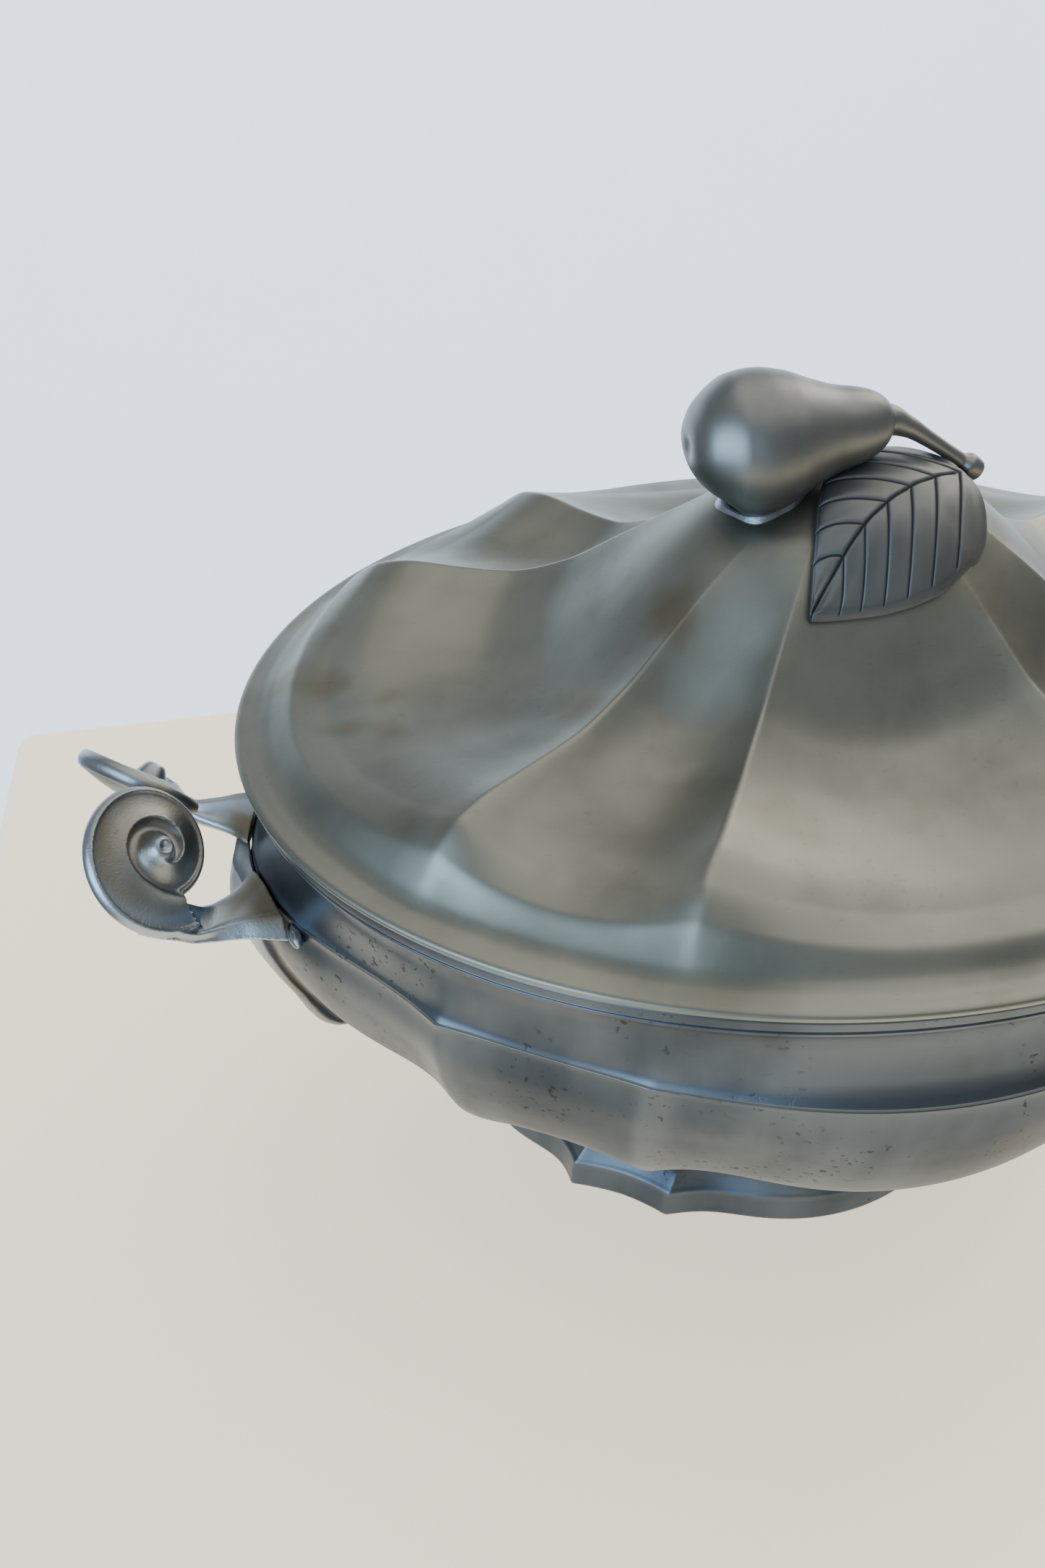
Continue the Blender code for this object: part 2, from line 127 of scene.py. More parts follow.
class Finish:
    """A material whose nodes are added one call at a time."""

    def __init__(self, name):
        self.material = bpy.data.materials.new(name)
        self.material.use_nodes = True
        self.nodes = self.material.node_tree.nodes
        self.shader = self.nodes["Principled BSDF"]

    def fill(self, node, inputs):
        """Sets or links a node's sockets, by name or by number."""
        for key, value in inputs.items():
            if isinstance(value, Value):
                self.material.node_tree.links.new(value.socket, node.inputs[key])
            else:
                node.inputs[key].default_value = value

    def node(self, kind, settings=None, inputs=None, output=0):
        """Adds a node with its settings, fills its sockets and wraps one output."""
        made = self.nodes.new(kind)
        for key, value in (settings or {}).items():
            setattr(made, key, value)
        self.fill(made, inputs or {})
        return Value(self, made.outputs[output])

    def place(self, stretch=(1.0, 1.0, 1.0)):
        """The point on the surface in metres, stretched along the axes."""
        point = self.node("ShaderNodeTexCoord", output="Object")
        return self.node("ShaderNodeVectorMath", {"operation": "MULTIPLY"}, {0: point, 1: stretch})

    def noise(self, size, detail=3.0, stretch=(1.0, 1.0, 1.0)):
        """A cloudy pattern whose patches are about `size` metres across."""
        inputs = {"Vector": self.place(stretch), "Scale": 1.0 / size, "Detail": detail}
        return self.node("ShaderNodeTexNoise", inputs=inputs)

    def mix(self, share, first, second):
        """Blend of two colours."""
        return self.node("ShaderNodeMix", {"data_type": "RGBA"}, {0: share, 6: first, 7: second}, output=2)

    def traced(self, name):
        """A value that the mesh itself holds at each point."""
        return self.node("ShaderNodeAttribute", {"attribute_name": name}, output="Fac")


print("shader maths ready")

# %% [markdown]
# ## The pewter
# Old pewter is a soft grey metal under a thin skin of oxide. The skin is darker and browner where
# nobody rubs it, bright on ridges and where cloths pass, and dotted with small dark pits. A single grey
# would look like plastic, so each finish mixes a clean metal, a patina and a stain through clouds of
# several sizes. One attribute on the mesh holds grime and shade: where its hollows hold oxide, and on
# the foot a painted shade for the shadow under the belly. Another, `wear`, says where it is rubbed.


# %% The pewter finishes
def colour(red, green, blue):
    """An opaque colour."""
    return (red, green, blue, 1.0)


PIT_GREY = colour(0.035, 0.034, 0.032)
# Near-black for the oxide in the leaf's engraved cuts, and for the deepest painted shade at the top of the
# foot.
CUT_AND_SHADE_BLACK = colour(0.035, 0.036, 0.038)


def pewter(name, clean, patina, stain, roughness, pits, grain=0.10):
    """A cast pewter finish. Pits and grain say how strongly those marks show."""
    finish = Finish(name)
    grime_and_shade = finish.traced("grime_and_shade")
    wear = finish.traced("wear")
    clouds = finish.noise(0.045, 5.0)
    smears = finish.noise(0.016, 4.0, (1.0, 1.0, 0.35))
    speckle = finish.noise(0.0016, 2.0)
    pitted = speckle.band(0.62, 0.69) * finish.noise(0.022, 2.0).band(0.44, 0.62) * pits
    scratches = finish.noise(0.0009, 1.0, (0.25, 1.0, 4.0)).band(0.68, 0.76) * 0.35
    # Painted shade: on the foot the traced grime value is painted shade, and here it pulls the metal
    # towards the patina; where it runs high it pulls it on towards near-black.
    aged_and_shaded = clouds.band(0.36, 0.66) * 0.55 + smears.band(0.35, 0.75) * 0.35 + grime_and_shade * 0.9 - wear * 0.8
    metal = finish.mix(aged_and_shaded.band(0.0, 1.2), clean, patina)
    stained = finish.noise(0.030, 3.0, (1.0, 1.0, 0.6)).band(0.60, 0.74) * 0.6
    metal = finish.mix(stained, metal, stain)
    metal = finish.mix((pitted + scratches * 0.6).band(0.0, 1.0), metal, PIT_GREY)
    # Near-black in the leaf's engraved cuts, and painted shade at the top of the foot.
    metal = finish.mix(grime_and_shade.band(0.9, 1.6), metal, CUT_AND_SHADE_BLACK)
    rough = roughness + clouds * 0.10 + smears * 0.08 + pitted * 0.3 + grime_and_shade * 0.15 - wear * 0.06 - 0.09
    height = finish.noise(0.0005, 3.0) * grain + finish.noise(0.006, 2.0) * 0.5 - pitted * 0.5
    bump = finish.node("ShaderNodeBump", inputs={"Strength": 0.35, "Distance": 0.00025, "Height": height})
    finish.fill(finish.shader, {"Base Color": metal, "Metallic": 1.0, "Roughness": rough, "Normal": bump})
    return finish.material


bowl_pewter = pewter(
    "bowl_pewter", clean=colour(0.115, 0.135, 0.16), patina=colour(0.044, 0.055, 0.072),
    stain=colour(0.085, 0.07, 0.055), roughness=0.40, pits=0.6,
)
# Painted reflection: the olive tint of the lid's clean metal and patina stands in for the warm room that
# the lid reflects.
lid_pewter = pewter(
    "lid_pewter", clean=colour(0.262, 0.266, 0.230), patina=colour(0.155, 0.158, 0.132),
    stain=colour(0.17, 0.14, 0.09), roughness=0.46, pits=0.15,
)
handle_pewter = pewter(
    "handle_pewter", clean=colour(0.37, 0.42, 0.47), patina=colour(0.22, 0.195, 0.14),
    stain=colour(0.15, 0.13, 0.11), roughness=0.42, pits=0.25, grain=0.6,
)
finial_pewter = pewter(
    "finial_pewter", clean=colour(0.25, 0.255, 0.245), patina=colour(0.14, 0.148, 0.152),
    stain=colour(0.10, 0.08, 0.055), roughness=0.45, pits=0.15,
)
solder_pewter = pewter(
    "solder_pewter", clean=colour(0.34, 0.37, 0.39), patina=colour(0.20, 0.21, 0.22),
    stain=colour(0.22, 0.20, 0.17), roughness=0.40, pits=0.3, grain=0.8,
)
print("finishes:", [m.name for m in bpy.data.materials if m.name.endswith("pewter")])

# %% [markdown]
# ## Helpers for skins
# A casting here is a closed skin over rings of points, like the ribs of a basket. One helper turns
# rings into faces, one reads a smooth curve through a short table, and one rounds the corners of a
# moulding's section. Smoothness comes from the curves and not from a subdivision, so that ridges stay
# as crisp as they are drawn.


# %% Curves and skins
def smooth_read(x, places, values):
    """A curve through a short table that never overshoots it, read at x."""
    places, values = np.array(places, float), np.array(values, float)
    steps = np.diff(places)
    slopes = np.diff(values) / steps
    before, after = slopes[:-1], slopes[1:]
    level = before * after <= 0
    weights = (steps[1:] + 2 * steps[:-1], 2 * steps[1:] + steps[:-1])
    safe_before, safe_after = np.where(level, 1.0, before), np.where(level, 1.0, after)
    inside = (weights[0] + weights[1]) / (weights[0] / safe_after + weights[1] / safe_before)
    tangents = np.concatenate(([slopes[0]], np.where(level, 0.0, inside), [slopes[-1]]))
    x = np.clip(np.asarray(x, float), places[0], places[-1])
    k = np.clip(np.searchsorted(places, x) - 1, 0, len(steps) - 1)
    h = steps[k]
    t = (x - places[k]) / h
    left = values[k] * (1 + 2 * t) * (1 - t) ** 2 + tangents[k] * h * t * (1 - t) ** 2
    right = values[k + 1] * t * t * (3 - 2 * t) + tangents[k + 1] * h * t * t * (t - 1)
    return left + right


def smoothstep(x, low, high):
    """0 below low and 1 above high, smooth between, for numbers and arrays."""
    t = np.clip((np.asarray(x, float) - low) / (high - low), 0, 1)
    return t * t * (3 - 2 * t)


def skin(rings, closed=False):
    """Points and faces over rings of equal length. An open stack of rings is capped at both ends."""
    rings = np.asarray(rings, float)
    rows, count = rings.shape[:2]
    points = rings.reshape(-1, 3)
    i = np.arange(rows if closed else rows - 1)[:, None]
    k = np.arange(count)[None, :]
    j, m = (i + 1) % rows, (k + 1) % count
    quads = np.stack([i * count + k, i * count + m, j * count + m, j * count + k], axis=-1).reshape(-1, 4)
    faces = quads.tolist()
    if not closed:
        points = np.vstack([points, rings[0].mean(axis=0), rings[-1].mean(axis=0)])
        last = (rows - 1) * count
        for a in range(count):
            b = (a + 1) % count
            faces.append((rows * count, b, a))
            faces.append((rows * count + 1, last + a, last + b))
    return points, faces


def mesh_piece(name, points, faces, material, traces=None):
    """A smooth-shaded object from points in the module, with values traced on its points."""
    mesh = bpy.data.meshes.new(name)
    scaled = np.asarray(points) * U + np.array(LID_MIDDLE)
    mesh.from_pydata(scaled.tolist(), [], faces)
    mesh.materials.append(material)
    mesh.shade_smooth()
    for key, values in (traces or {}).items():
        attribute = mesh.attributes.new(key, "FLOAT", "POINT")
        full = np.zeros(len(mesh.vertices), np.float32)
        full[: len(values)] = values
        attribute.data.foreach_set("value", full)
    made = bpy.data.objects.new(name, mesh)
    bpy.context.scene.collection.objects.link(made)
    turn_out(mesh)
    return made


def turn_out(mesh):
    """Turns the faces round if they enclose a negative volume."""
    mesh.calc_loop_triangles()
    corners = np.zeros(len(mesh.vertices) * 3)
    mesh.vertices.foreach_get("co", corners)
    triangles = np.zeros(len(mesh.loop_triangles) * 3, int)
    mesh.loop_triangles.foreach_get("vertices", triangles)
    a, b, c = np.moveaxis(corners.reshape(-1, 3)[triangles.reshape(-1, 3)], 1, 0)
    if (a * np.cross(b, c)).sum() < 0:
        mesh.flip_normals()


def settle(piece, body, slot, *nodes):
    """The piece rides on its body and stands for its CAD nodes. The slot is not used."""
    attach(piece, body)
    if nodes:
        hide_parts(*nodes)
    print(piece.name, len(piece.data.vertices), "points on", body)


print("helpers ready")

# %% [markdown]
# ## The lobed oval
# Bowl, lid and foot share one plan: an oval divided into eight panels by ridges. The front and back
# panels are wide, the two ends carry the handles, and a narrow panel fills each corner. Every ring of
# every casting is this oval at some reach, so the stations round it are worked out once, closer
# together beside the ridges.

# %% Stations round the oval
FRONT, CORNER, END = 0, 1, 2
STEPS = {FRONT: 64, CORNER: 56, END: 60}
WIDTH_RATIO = 0.779
FOOT_RATIO = 0.735
LID_RIDGES = (27.0, 55.1)
BOWL_RIDGES = (29.3, 52.0)
FOOT_RIDGES = (32.7, 55.0)


def crowded(count):
    """Places from 0 to just below 1 that crowd together towards 1."""
    even = np.arange(count) / count
    return 0.5 * even + 0.5 * np.sin(pi / 2 * even)


half_corner = crowded(STEPS[CORNER] // 2)
corner_places = np.concatenate(([-1.0], -half_corner[:0:-1], half_corner))
front_quarter = [(FRONT, p) for p in crowded(STEPS[FRONT])]
corner_quarter = [(CORNER, p) for p in corner_places]
end_quarter = [(END, 1.0)] + [(END, p) for p in crowded(STEPS[END])[:0:-1]]
quarter = front_quarter + corner_quarter + end_quarter
stations = [(1, 1, *q) for q in quarter] + [(1, 0, END, 0.0)]
stations += [(1, -1, *q) for q in reversed(quarter[1:])]
stations += [(-1, -1, *q) for q in quarter] + [(-1, 0, END, 0.0)]
stations += [(-1, 1, *q) for q in reversed(quarter[1:])]
side, forward, kind, place = (np.array(column, float) for column in zip(*stations))
is_front, is_corner = kind == FRONT, kind == CORNER
print(len(stations), "stations round each ring")


# %% Rings on the oval
def oval_angle(ridges):
    """Angle of every station from the middle of the front or back, for ridges at these angles."""
    first, second = ridges
    corner = (first + second) / 2 + place * (second - first) / 2
    end = 90 - (90 - second) * np.abs(place)
    return np.radians(np.where(is_front, first * np.abs(place), np.where(is_corner, corner, end)))


def ring(reach, height, ratio=WIDTH_RATIO, ridges=LID_RIDGES):
    """One ring of the lobed plan. Reach and height may differ from station to station."""
    angle = oval_angle(ridges)
    x = side * reach * np.sin(angle)
    y = -forward * reach * ratio * np.cos(angle)
    return np.stack([x, y, height + 0 * x], axis=-1)


def by_kind(values):
    """One value for each station from the three values for a front, a corner and an end."""
    return np.where(is_front, values[0], np.where(is_corner, values[1], values[2]))


def soften(rings, times):
    """Rounds the ridges by averaging every ring with its neighbours on both sides."""
    for _ in range(times):
        rings = 0.5 * rings + 0.25 * (np.roll(rings, 1, axis=1) + np.roll(rings, -1, axis=1))
    return rings


def inward(rings, wall):
    """The skin moved in by the wall along its own normals."""
    along = np.roll(rings, -1, axis=1) - np.roll(rings, 1, axis=1)
    down = np.gradient(rings, axis=0)
    normal = np.cross(along, down)
    normal /= np.linalg.norm(normal, axis=2)[..., None]
    out = rings - np.array([0.0, 0.0, rings[..., 2].mean()])
    return rings - normal * wall * np.sign((normal * out).sum())


def rounded(section, radius, steps=5):
    """A closed section of a moulding with every corner rounded."""
    made = []
    count = len(section)
    for i in range(count):
        corner = np.array(section[i], float)
        before = np.array(section[i - 1], float) - corner
        after = np.array(section[(i + 1) % count], float) - corner
        reach = min(radius, 0.45 * np.linalg.norm(before), 0.45 * np.linalg.norm(after))
        start = corner + before / np.linalg.norm(before) * reach
        end = corner + after / np.linalg.norm(after) * reach
        for t in np.linspace(0, 1, steps):
            made.append((1 - t) ** 2 * start + 2 * t * (1 - t) * corner + t * t * end)
    return made


def spread(values):
    """One value for each row, repeated at every station."""
    return np.repeat(np.asarray(values)[:, None], len(place), axis=1)


# The second value is grime in hollows, and on the foot painted shade.
def wear_grime_and_shade(wear, grime_and_shade):
    """The two values that a finish reads from the mesh."""
    return {"wear": wear.ravel(), "grime_and_shade": grime_and_shade.ravel()}


ridge_wear = np.exp(-(((1 - np.abs(place)) / 0.10) ** 2))
print("ring helpers ready")

# %% [markdown]
# ## The bowl
# The bowl was cast in two lobed shells, soldered where they meet. The upper one is a hollow cove, and
# the lower one bellies out and turns under to the foot. Between them runs a sharp edge, the arris. One
# smooth skin through all heights would round it off, so each shell reads its own part of the outline
# and ends exactly on the edge.

# %% The bowl's outline
WALL = 0.0024 / U
ARRIS = -0.210
SEAM = 0.0004
BASE = -0.790
# Height, reach of the ridges, then (middle swell, flank dip) for a front, a corner and an end panel
COVE = [
    (-0.056, 0.966, (0.000, 0.000), (0.000, 0.000), (0.000, 0.000)),
    (-0.085, 0.947, (0.001, 0.000), (-0.001, 0.000), (0.001, 0.000)),
    (-0.120, 0.940, (0.006, 0.000), (-0.004, 0.000), (0.006, 0.000)),
    (-0.170, 0.943, (0.020, 0.000), (-0.010, 0.003), (0.020, 0.012)),
    (-0.195, 0.948, (0.030, 0.000), (-0.015, 0.005), (0.026, 0.020)),
    (-0.210, 0.957, (0.038, 0.000), (-0.019, 0.006), (0.030, 0.027)),
]
BELLY = [
    (-0.210, 0.957, (0.038, 0.000), (-0.019, 0.006), (0.030, 0.027)),
    (-0.228, 0.953, (0.041, 0.002), (-0.020, 0.006), (0.035, 0.030)),
    (-0.270, 0.955, (0.046, 0.007), (-0.020, 0.006), (0.040, 0.034)),
    (-0.340, 0.940, (0.048, 0.014), (-0.022, 0.006), (0.040, 0.036)),
    (-0.450, 0.893, (0.045, 0.024), (-0.026, 0.006), (0.040, 0.038)),
    (-0.560, 0.803, (0.040, 0.032), (-0.030, 0.008), (0.035, 0.038)),
    (-0.650, 0.690, (0.035, 0.034), (-0.030, 0.008), (0.030, 0.036)),
    (-0.720, 0.592, (0.030, 0.032), (-0.028, 0.006), (0.025, 0.034)),
    (-0.780, 0.530, (0.024, 0.026), (-0.026, 0.006), (0.020, 0.032)),
    (-0.830, 0.522, (0.012, 0.026), (-0.026, 0.006), (0.010, 0.032)),
    (-0.862, 0.543, (0.004, 0.028), (-0.026, 0.006), (0.004, 0.034)),
    (-0.872, 0.553, (0.000, 0.028), (-0.026, 0.006), (0.000, 0.034)),
    (-0.930, 0.557, (0.000, 0.028), (-0.026, 0.006), (0.000, 0.034)),
]


def bowl_rings(table, heights):
    """Rings of the bowl at these heights, read smoothly from a table of levels."""
    places = [-level[0] for level in table]
    reaches = smooth_read(-np.array(heights), places, [level[1] for level in table])
    swells, dips = [], []
    for panel in (FRONT, CORNER, END):
        swells.append(smooth_read(-np.array(heights), places, [level[2 + panel][0] for level in table]))
        dips.append(smooth_read(-np.array(heights), places, [level[2 + panel][1] for level in table]))
    rings = []
    for row, height in enumerate(heights):
        turned = min(max((-height - 0.2) / 0.7, 0), 1)
        ridges = [a + (b - a) * turned for a, b in zip(BOWL_RIDGES, FOOT_RIDGES)]
        ratio = WIDTH_RATIO + (FOOT_RATIO - WIDTH_RATIO) * float(smoothstep(-height, 0.25, 0.95))
        middle = by_kind([s[row] for s in swells])
        flank = by_kind([d[row] for d in dips])
        lobe = middle * (1 - place**2) ** 2 - flank * np.sin(pi * place**2)
        rings.append(ring(reaches[row] + lobe, height, ratio, ridges))
    return np.array(rings)


print("outline of", len(COVE) + len(BELLY) - 1, "levels")


# %% The cove
cove_outer = soften(bowl_rings(COVE, np.linspace(-0.0573, ARRIS + SEAM, 36)), 3)
cove_inner = inward(soften(cove_outer, 30), WALL)
cove_inner[0, :, 2] = cove_outer[0, :, 2]
cove_inner[-1, :, 2] = cove_outer[-1, :, 2]
points, faces = skin(np.concatenate([cove_outer, cove_inner[::-1]]), closed=True)
down = spread(np.linspace(0, 1, len(cove_outer)))
cove_wear = 0.35 * smoothstep(down, 0.90, 1.0) + 0.35 * ridge_wear * smoothstep(down, 0.5, 1.0)
cove_grime = 0.5 * (1 - smoothstep(down, 0.0, 0.25))
bowl_cove = mesh_piece("bowl_cove", points, faces, bowl_pewter, wear_grime_and_shade(cove_wear, cove_grime))
settle(bowl_cove, "bowl", "bowl_pewter", "bowl_cove_casting")

# %% [markdown]
# The belly needs a floor too. The inner skin stops short of the foot, and shrunken copies of its last
# ring close it with a flat floor and a small fillet, as a caster would leave one. The outer skin closes
# flat under the floor, inside the hollow foot.

# %% The belly
FLOOR = BASE + 1.25 * WALL
# Share of the inner skin's last ring, rise above the floor
FLOOR_FILLET = [(0.94, 0.012), (0.86, 0.004), (0.74, 0.001), (0.50, 0.0), (0.25, 0.0), (0.05, 0.0)]
belly_heights = np.concatenate([np.linspace(ARRIS - SEAM, -0.26, 14)[:-1], np.linspace(-0.26, BASE, 76)])
belly_outer = soften(bowl_rings(BELLY, belly_heights), 3)
belly_inner = inward(soften(belly_outer, 30), WALL)[:-4]
belly_inner[0, :, 2] = belly_outer[0, :, 2]
floor_rings = []
for share, rise in FLOOR_FILLET:
    flat = belly_inner[-1] * share
    flat[:, 2] = FLOOR + rise
    floor_rings.append(flat)
under = belly_outer[-1] * np.array([0.5, 0.5, 1.0])
rings = np.concatenate([floor_rings[::-1], belly_inner[::-1], belly_outer, under[None]])
points, faces = skin(rings)
depth = spread(-belly_heights)
belly_wear = 0.55 * ridge_wear * (1 - smoothstep(depth, 0.6, 0.8))
belly_wear += 0.25 * (1 - smoothstep(depth, 0.21, 0.222))
belly_grime = 0.7 * smoothstep(depth, 0.62, 0.78) + 0.25 * (1 - ridge_wear) * smoothstep(depth, 0.2, 0.3)
clean_inside = np.zeros((len(floor_rings) + len(belly_inner), len(place)))
belly_wear, belly_grime = (np.vstack([clean_inside, values]) for values in (belly_wear, belly_grime))
bowl_belly = mesh_piece("bowl_belly", points, faces, bowl_pewter, wear_grime_and_shade(belly_wear, belly_grime))
settle(bowl_belly, "bowl", "bowl_pewter", "bowl_belly_casting")

# %% [markdown]
# ## Rim band and foot
# The rim band is a strip of moulding soldered round the mouth. The lid's edge hangs just over it and
# leaves a dark line. It has a plain upper face, a fine groove and a small bead below, so it is a
# rounded section swept round the oval. The foot is a hollow flared ring that ends in an upright band
# where it stands on the table.

# %% The rim band
SEAT = -0.0175
band_section = [
    (0.948, SEAT), (0.983, SEAT), (0.9875, SEAT - 0.006), (0.9875, -0.038), (0.981, -0.0405),
    (0.981, -0.0435), (0.9845, -0.0455), (0.9835, -0.0515), (0.974, -0.0560), (0.948, -0.0560),
]
band_rings = [ring(reach, height) for reach, height in rounded(band_section, 0.0022)]
points, faces = skin(band_rings, closed=True)
rim_band = mesh_piece("rim_band_moulding", points, faces, bowl_pewter)
settle(rim_band, "bowl", "bowl_pewter", "rim_band")

# %% The foot
foot_heights = np.concatenate([np.linspace(BASE - SEAM, -0.860, 22), np.linspace(-0.862, -0.874, 8)])
foot_heights = np.concatenate([foot_heights, np.linspace(-0.880, -0.926, 12)])
foot_outer = soften(bowl_rings(BELLY, foot_heights), 2)
foot_inner = soften(foot_outer, 20) * np.array([0.952, 0.938, 1.0])
base_edge = [foot_outer[-1] * (1 - k) + foot_inner[-1] * k for k in (0.06, 0.5, 0.94)]
for edge in base_edge:
    edge[:, 2] = -RIM_HEIGHT
rings = np.concatenate([foot_outer, base_edge, foot_inner[::-1]])
points, faces = skin(rings, closed=True)
depth = spread(-foot_heights)
foot_wear = 0.3 * np.exp(-(((depth - 0.872) / 0.006) ** 2))
foot_wear += 0.35 * ridge_wear * smoothstep(depth, 0.83, 0.87)
# Painted shade: the top of the foot, under the overhang of the belly, is darkened as if shadowed, and the
# whole foot a little.
foot_painted_shade = 0.9 * (1 - smoothstep(depth, 0.79, 0.86)) + 0.3
foot = mesh_piece("foot", points, faces, bowl_pewter, wear_grime_and_shade(foot_wear, foot_painted_shade))
settle(foot, "bowl", "bowl_pewter", "foot_ring")

# %% [markdown]
# ## The lid
# The lid is one thin casting. Its section runs flat at the rim, climbs a steep shoulder, rests on a
# plateau and sweeps up in a hollow curve to the crown. Between the ridges every panel sags like cloth
# over poles. The sag fades out on the flange, which is a plain flat oval, and again under the finial.

# %% The lid's surface
LID_WALL = 0.0022 / U
LID_TOP_RATIO = 0.612
PANEL_DIP = (0.068, 0.050, 0.068)
# Share of the way from the centre to the rim, height on a ridge
LID_SECTION = [
    (0.00, 0.414), (0.06, 0.409), (0.20, 0.375), (0.30, 0.320), (0.40, 0.254),
    (0.50, 0.190), (0.60, 0.153), (0.70, 0.142), (0.78, 0.137), (0.85, 0.120),
    (0.90, 0.084), (0.945, 0.022), (0.965, 0.008), (1.00, 0.000),
]


def lid_window(reach):
    """How much of the sag shows at this reach."""
    return (1 - smoothstep(reach, 0.84, 0.975)) * smoothstep(reach, 0.20, 0.50)


def lid_height(reach, dip, spot):
    """Height of the lid's top at a reach, with the sag at a spot between two ridges."""
    ridge = smooth_read(reach, [s for s, _ in LID_SECTION], [h for _, h in LID_SECTION])
    return ridge - dip * (1 - spot**2) * lid_window(reach)


def lid_ratio(reach):
    """Width over length of the lid's rings: narrower towards the crown."""
    return LID_TOP_RATIO + (WIDTH_RATIO - LID_TOP_RATIO) * reach


def lid_surface(x, y):
    """Height of the lid's top over points of the plan."""
    x, y = np.broadcast_arrays(np.asarray(x, float), np.asarray(y, float))
    reach = np.hypot(x, y / LID_TOP_RATIO)
    for _ in range(8):
        reach = np.hypot(x, y / lid_ratio(reach))
    angle = np.degrees(np.arctan2(np.abs(x), np.abs(y) / lid_ratio(reach)))
    first, second = LID_RIDGES
    in_corner = (2 * angle - first - second) / (second - first)
    spot = np.where(angle < second, in_corner, (90 - angle) / (90 - second))
    spot = np.where(angle < first, angle / first, spot)
    dip = np.where(angle < first, PANEL_DIP[0], np.where(angle < second, PANEL_DIP[1], PANEL_DIP[2]))
    return lid_height(reach, dip, spot)


print("lid surface over the finial's seat:", round(float(lid_surface(-0.13, 0.0)), 3))

# %% The lid's shell
EDGE_RADIUS = 0.0072
EDGE_REACH = 0.992
reaches = np.concatenate([np.linspace(0.008, 0.78, 96), np.linspace(0.78, EDGE_REACH, 64)[1:]])
dips = by_kind(PANEL_DIP)
top = np.array([ring(r, lid_height(r, dips, place), lid_ratio(r)) for r in reaches])
top = soften(top, 4)
edge = []
for turn in np.linspace(pi / 2, -pi / 2, 9)[1:]:
    drop = -EDGE_RADIUS + EDGE_RADIUS * sin(turn) + 0.0005
    edge.append(ring(EDGE_REACH + EDGE_RADIUS * cos(turn), drop))
seat_rings = [ring(r, -2 * EDGE_RADIUS) for r in (0.97, 0.95)]
under = inward(soften(top, 30), LID_WALL)[reaches < 0.925]
under[..., 2] = np.maximum(under[..., 2], -2 * EDGE_RADIUS)
rings = np.concatenate([top, edge, seat_rings, under[::-1]])
points, faces = skin(rings)
rows = spread(reaches)
lid_wear = 0.8 * ridge_wear * lid_window(rows) + 0.15 * smoothstep(rows, 0.93, 0.99)
lid_grime = 0.35 * (1 - ridge_wear) * smoothstep(rows, 0.9, 0.93) * (1 - smoothstep(rows, 0.94, 0.97))
lid_grime += 0.6 * (1 - smoothstep(rows, 0.06, 0.24))
lid = mesh_piece("lid", points, faces, lid_pewter, wear_grime_and_shade(lid_wear, lid_grime))
settle(lid, "lid", "lid_pewter", "lid_shell")

# %% [markdown]
# Under the lid a plain ring drops just inside the mouth and keeps the lid from sliding. It is a rounded
# strip swept round the same oval, and it shows when the lid is lifted.

# %% The locating ring
ring_section = [(0.938, -0.0155), (0.938, -0.046), (0.932, -0.050), (0.918, -0.050), (0.918, -0.0155)]
points, faces = skin([ring(r, h) for r, h in rounded(ring_section, 0.004)], closed=True)
locating_ring = mesh_piece("locating_ring", points, faces, lid_pewter)
settle(locating_ring, "lid", "lid_pewter", "lid_locating_ring")

# %% [markdown]
# ## The pear
# The knob is a pear lying on its side, with its blossom end to the left. A sweep of circles along its
# core gives the body. Its foot is pressed flat to the lid, as the caster's file left it, and the
# blossom end has a small puckered hollow. Low lumps stop it from looking turned on a lathe, and its
# underside slants in to the seat.

# %% The pear
PEAR_CENTRE = (-0.165, 0.0, 0.489)
PEAR_RADIUS = 0.112
PEAR_NECK = 0.225
PEAR_NECK_RISE = 0.018
PEAR_OUTLINE = [
    (-1.00, 0.00), (-0.99, 0.14), (-0.93, 0.42), (-0.70, 0.74), (-0.35, 0.95), (0.00, 1.00), (0.40, 0.93),
    (0.80, 0.76), (1.15, 0.62), (1.50, 0.53), (1.75, 0.43), (1.90, 0.31), (1.97, 0.18), (2.00, 0.03),
]
blossom_end = -np.cos(np.linspace(0, pi / 2, 60))
neck = np.concatenate([np.linspace(0, 1.7, 50)[1:], np.linspace(1.7, 2, 24)[1:]])
places = np.concatenate([blossom_end, neck])
radii = PEAR_RADIUS * smooth_read(places, [p for p, _ in PEAR_OUTLINE], [r for _, r in PEAR_OUTLINE])
radii = np.maximum(radii, 0.0005)
turns = np.linspace(0, 2 * pi, 160, endpoint=False)
along = np.where(places > 0, PEAR_NECK / 2, PEAR_RADIUS) * places
middles = PEAR_CENTRE[2] + PEAR_NECK_RISE * np.maximum(places, 0) / 2
pear_rings = np.zeros((len(places), len(turns), 3))
pear_rings[..., 0] = PEAR_CENTRE[0] + along[:, None]
pucker = 0.008 * np.exp(-((radii / 0.018) ** 2))
pear_rings[..., 0] += pucker[:, None] * (places < 0)[:, None]
lumps = np.sin(2 * turns[None, :] + 3 * along[:, None] / PEAR_RADIUS)
lumps = 1 + 0.012 * lumps * smoothstep(radii, 0, 0.06)[:, None]
pear_rings[..., 1] = radii[:, None] * np.cos(turns)[None, :] * lumps
pear_rings[..., 2] = middles[:, None] + radii[:, None] * np.sin(turns)[None, :] * lumps

